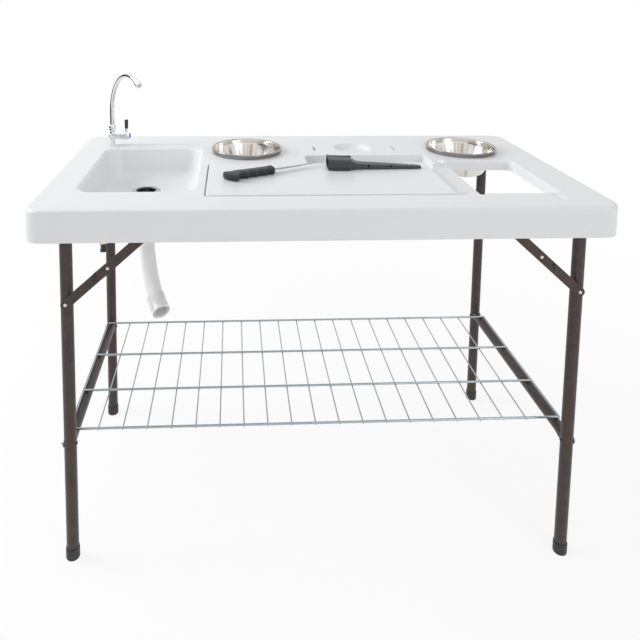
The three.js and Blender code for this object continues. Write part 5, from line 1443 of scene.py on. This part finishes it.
@dataclass
class Knife:
    """The knife: a moulded handle with finger scallops, and a slim blade."""

    x: float = -199.0
    y: float = -121.0
    rest: float = 766.8
    angle: float = 25.5
    thick: float = 17.0
    grip: tuple[float, float] = (27.0, 103.0)
    scallop: float = 3.0
    scallop_pitch: float = 22.0
    blade_start: float = 116.3
    blade_length: float = 127.6
    blade_steps: int = 24

    def build(self) -> None:
        """Builds and dresses the handle and the blade."""
        half = self.thick / 2
        place = shifted(self.x, self.y, self.rest + half) @ Matrix.Rotation(math.radians(self.angle), 4, "Z")
        handle = Bench.drawn("knife_grip", [Station(run, half * deep, (high - low) / 2, 0, (low + high) / 2)
                                            for run, low, high, deep in self._outline()], 3.0, 3)
        for side in (1, -1):
            self._panel(handle, side)
        Bench.settle(handle, place @ LAID_FLAT)
        Bench.apply(handle, "SUBSURF", levels=1, render_levels=1)
        hand_over(handle, "knife", Finishes.black, "knife_handle", angle=60, weighted=False)
        hand_over(Bench.settle(self._blade(), place), "knife", Finishes.blade, "knife_blade")

    def _outline(self) -> list[tuple[float, float, float, float]]:
        """Sections of the handle: run, near edge, far edge and share of its thickness."""
        grip = []
        for k in range(27):
            run = 26 + 3 * k
            wave = self.scallop * math.cos(2 * math.pi * (run - 26) / self.scallop_pitch)
            far = 13.6 - 2.8 * math.sin(math.pi * (run - 10) / 110)
            grip.append((run, -12.8 - wave + 0.04 * k, far, 1.04 - 0.1 * k / 27))
        return [
            (0.0, 3.0, 11.0, 0.6), (0.8, 0.5, 12.6, 0.84), (4.5, -8.5, 13.8, 0.98),
            (10.0, -18.0, 14.2, 1.0), (15.0, -25.5, 14.3, 1.0), (18.2, -29.4, 14.4, 0.98),
            (19.6, -29.6, 14.4, 0.98), (21.4, -26.0, 14.4, 1.0), (24.0, -18.0, 14.2, 1.02), *grip,
            (107.0, -12.0, 11.4, 0.94), (109.5, -14.6, 13.8, 1.06), (113.8, -14.8, 14.0, 1.06),
            (115.4, -13.8, 13.0, 1.0), (116.0, -10.0, 9.6, 0.76)]

    def _panel(self, handle: Piece, side: int) -> None:
        """Sinks a soft panel into one flat face of the grip."""
        start, end = self.grip
        Bench.enter(handle, "FACE")
        mesh = bmesh.from_edit_mesh(handle.data)
        bpy.ops.mesh.select_all(action="DESELECT")
        for face in mesh.faces:
            run = face.calc_center_median().z
            face.select_set(face.normal.x * side > 0.93 and start * MM < run < end * MM)
        bmesh.update_edit_mesh(handle.data)
        bpy.ops.mesh.inset(thickness=1.8 * MM, depth=0.0)
        bpy.ops.mesh.inset(thickness=0.5 * MM, depth=-0.7 * MM)
        Bench.leave()

    def _blade(self) -> Piece:
        """The ground blade with its upswept point."""
        sections = [Station(90.4, 0.8, 4.7), Station(116.2, 0.8, 4.7)]
        for share in (k / self.blade_steps for k in range(self.blade_steps + 1)):
            low = -6.6 + 14.8 * share ** 2.6
            high = 5.4 + 3.1 * share ** 1.6
            run = self.blade_start + self.blade_length * share
            sections.append(Station(run, 0.8 - 0.45 * share, max((high - low) / 2, 0.35), 0,
                                    (high + low) / 2))
        return Bench.drawn("knife_steel", sections, None, 16, LAID_FLAT)


@dataclass
class Sheath:
    """The knife's sheath: a wide throat, a shoulder and a slim body with three holes."""

    x: float = 34.0
    y: float = -30.0
    rest: float = 766.8
    angle: float = -1.5
    length: float = 216.0
    hole: float = 2.5
    holes: tuple[tuple[float, float], ...] = ((0.43, 8.4), (0.67, 6.9), (0.88, 5.0))

    @staticmethod
    def _body(name: str, runs: Sequence[tuple[float, float, float]]) -> Piece:
        """A body through sections of run, half width and thickness, resting on the board."""
        return Bench.drawn(name, [Station(u, t / 2, w, -t / 2) for u, w, t in runs], 5.0, 6, LAID_FLAT)

    def build(self) -> None:
        """Builds and dresses the sheath."""
        outer = self._body("knife_case", [
            (0, 24.6, 25.4), (0.5, 25, 26), (2.6, 25, 26), (3.2, 24.0, 24.8), (50, 23.4, 23.4),
            (52, 22.6, 22.6), (58, 19.6, 18.4), (65, 16.4, 14.6), (72, 14.8, 12.6), (80, 14.2, 12),
            (140, 12, 9.6), (196, 9, 7), (206, 7.8, 6.6), (212, 6, 6.2), (215, 4, 5.6), (216, 2.8, 5.0)])
        inner = self._body("case_hollow", [
            (-2, 23, 22), (50, 21.2, 19.4), (58, 17.0, 14.4), (66, 13.2, 9.6), (76, 12, 7.8),
            (190, 6.6, 3.4)])
        tools = [Bench.settle(inner, shifted(0, 0, 2))]
        for share, height in self.holes:
            tools.append(Bench.turned("hole", [(0, -20), (self.hole, -20), (self.hole, 20), (0, 20)], FINE,
                                      along_y(self.length * share, 0, height)))
        Bench.cut(outer, *tools)
        flange = Plan(8, 48, -27.6, -22.0, 1.4).drawn("flange", [
            (0.2, -0.3), (0.6, 0), (3.4, 0), (3.9, -0.5)], 4)
        rib = Plan(4, 56, 12.0, 14.2, 1.0).drawn("rib", [(22.0, 0.4), (24.6, 0), (25.2, -0.4)], 4)
        Bench.fuse(outer, flange, rib)
        turn = Matrix.Rotation(math.radians(self.angle), 4, "Z")
        Bench.settle(outer, shifted(self.x, self.y, self.rest) @ turn)
        hand_over(Bench.blunt(outer, 0.3, 55), "sheath", Finishes.sheath, "knife_sheath", angle=35)


@dataclass(frozen=True)
class Lamp:
    """A square soft lamp."""

    name: str
    place: tuple[float, float, float]
    aim: tuple[float, float, float]
    size: float
    power: float

    def build(self) -> None:
        """Hangs the lamp at its place, turned to what it lights."""
        data = bpy.data.lights.new(self.name, "AREA")
        data.size = self.size
        data.energy = self.power
        lamp = bpy.data.objects.new(self.name, data)
        turn = (Vector(self.aim) - Vector(self.place)).to_track_quat("-Z", "Y").to_matrix().to_4x4()
        lamp.matrix_world = Matrix.Translation(self.place) @ turn
        bpy.context.scene.collection.objects.link(lamp)


@dataclass(frozen=True)
class Card:
    """A dark card that only mirrors see, as a photographer sets round bright metal.

    Args:
        name: The card's name.
        bearing: Its direction from the stand, in degrees from the front towards the left.
        distance: How far it stands from the stand's middle, in metres.
        width: Its width.
        low: Height of its lower edge.
        high: Height of its upper edge.
        colour: Its linear colour.
    """

    name: str
    bearing: float
    distance: float
    width: float
    low: float
    high: float
    colour: Colour

    def build(self) -> None:
        """Stands the card up facing the stand."""
        Bench.pick()
        bpy.ops.mesh.primitive_plane_add(size=1.0)
        card = Bench.name(self.name)
        turn = math.radians(self.bearing)
        place = Matrix.Translation((-math.sin(turn) * self.distance, -math.cos(turn) * self.distance,
                                    (self.low + self.high) / 2))
        size = Matrix.Diagonal((self.width, self.high - self.low, 1.0, 1.0))
        Bench.settle(card, place @ Matrix.Rotation(-turn, 4, "Z") @ Matrix.Rotation(QUARTER, 4, "X") @ size)
        shader = Shader(self.name, {"Base Color": (*self.colour, 1.0), "Roughness": 1.0,
                                    "Specular IOR Level": 0.0})
        card.data.materials.append(shader.material)
        for ray in ("camera", "diffuse", "transmission", "volume_scatter", "shadow"):
            setattr(card, f"visible_{ray}", False)


@dataclass
class Studio:
    """A plain pale floor, white surroundings and soft lamps."""

    floor_half: float = 30.0
    floor_near: float = 0.85
    floor_turn: tuple[float, float] = (0.5, 2.4)
    tint: tuple[float, float, float, float] = (1.0, 0.992, 0.98, 1.0)
    ambient: float = 0.55
    lamps: tuple[Lamp, ...] = (
        Lamp("overhead", (-0.4, 0.1, 3.4), (0.0, 0.0, 0.7), 2.4, 10.0),
        Lamp("left_window", (-3.0, 0.4, 2.1), (0.0, 0.0, 0.7), 1.6, 60.0),
        Lamp("front", (1.9, -3.2, 1.8), (0.2, 0.0, 0.5), 1.3, 23.0),
    )
    cards: tuple[Card, ...] = (
        Card("left_flag", 86.0, 2.6, 4.8, 0.02, 1.6, (0.03, 0.018, 0.015)),
        Card("brown_flag", -28.0, 3.4, 0.5, 1.7, 4.4, (0.42, 0.30, 0.23)),
        Card("tan_flag", 22.0, 3.4, 0.7, 1.7, 4.4, (0.58, 0.46, 0.38)),
        Card("slim_flag", 6.0, 3.4, 0.16, 1.7, 4.4, (0.16, 0.11, 0.09)),
        Card("second_slim_flag", -9.0, 3.4, 0.2, 1.7, 4.4, (0.22, 0.16, 0.13)),
        Card("far_left_flag", 80.0, 3.4, 0.9, 1.7, 4.4, (0.40, 0.33, 0.28)),
        Card("far_right_flag", -70.0, 3.4, 0.8, 1.7, 4.4, (0.34, 0.28, 0.24)),
        Card("right_slim_flag", -48.0, 3.4, 0.16, 1.7, 4.4, (0.16, 0.13, 0.11)),
        Card("left_slim_flag", 44.0, 3.4, 0.16, 1.9, 4.4, (0.14, 0.10, 0.08)),
    )

    def build(self) -> None:
        """Builds the floor, the surroundings, the lamps and the cards."""
        self._floor()
        self._surroundings()
        for piece in (*self.lamps, *self.cards):
            piece.build()
        bpy.context.scene.view_settings.view_transform = "Standard"

    def _floor(self) -> None:
        """A floor that keeps the shadow near the stand and turns plain white far off."""
        Bench.pick()
        bpy.ops.mesh.primitive_plane_add(size=2 * self.floor_half)
        floor = Bench.name("studio_floor")
        shader = Shader("studio_floor", {"Base Color": (0.93, 0.93, 0.93, 1.0), "Roughness": 0.9,
                                         "Specular IOR Level": 0.1})
        tree = shader.tree
        place = add_node(tree, "TexCoord", {}).outputs["Object"]
        reach = add_node(tree, "VectorMath", {0: place}, operation="LENGTH").outputs["Value"]
        start, end = self.floor_turn
        far = add_node(tree, "MapRange", {"Value": reach, "From Min": start, "From Max": end,
                                          "To Min": self.floor_near},
                       interpolation_type="SMOOTHSTEP").outputs["Result"]
        rays = self._clear_rays(tree)
        seen = add_node(tree, "Math", {0: far, 1: rays}, operation="MULTIPLY").outputs["Value"]
        glow = add_node(tree, "Emission", {}).outputs["Emission"]
        mix = add_node(tree, "MixShader", {"Fac": seen, 1: shader.principled.outputs["BSDF"], 2: glow})
        tree.links.new(mix.outputs["Shader"], tree.nodes["Material Output"].inputs["Surface"])
        floor.data.materials.append(shader.material)

    @staticmethod
    def _clear_rays(tree: Tree) -> Socket:
        """One for camera, mirror and see-through rays, which all see the plain white."""
        path = add_node(tree, "LightPath", {}).outputs
        total = path["Is Camera Ray"]
        for name in ("Is Glossy Ray", "Is Transmission Ray"):
            total = add_node(tree, "Math", {0: total, 1: path[name]}, operation="MAXIMUM").outputs["Value"]
        return total

    def _surroundings(self) -> None:
        """Soft light from all round, seen as white."""
        world = bpy.data.worlds.new("studio")
        world.use_nodes = True
        bpy.context.scene.world = world
        tree = world.node_tree
        soft = tree.nodes["Background"]
        soft.inputs["Color"].default_value = self.tint
        soft.inputs["Strength"].default_value = self.ambient
        white = add_node(tree, "Background", {"Color": PLAIN_WHITE})
        mix = add_node(tree, "MixShader", {"Fac": self._clear_rays(tree), 1: soft.outputs["Background"],
                                           2: white.outputs["Background"]})
        tree.links.new(mix.outputs["Shader"], tree.nodes["World Output"].inputs["Surface"])


def main() -> None:
    """Builds the stand piece by piece."""
    logging.basicConfig(level=logging.INFO, format="%(message)s")
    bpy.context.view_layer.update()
    Camera().build()
    legs = {End.LEFT: (228.5, 693.5), End.RIGHT: (257.0, 718.5)}
    parts = [
        DrainHose(),
        WorkTop(),
        CuttingBoard(),
        Bowl(End.LEFT, LEFT_BOWL, Finishes.left_bowl),
        Bowl(End.RIGHT, RIGHT_BOWL, Finishes.right_bowl),
        Tap(),
        SupplyTail(),
        Drain(),
        *(LegFrame(end, *spot) for end, spot in legs.items()),
        *(Brace(end, *spot) for end, spot in legs.items()),
        WireShelf(),
        Knife(),
        Sheath(),
        Studio(),
    ]
    for part in parts:
        part.build()
        LOG.info("%s is done", type(part).__name__)
    Bench.pick()


if __name__ == "__main__":
    main()
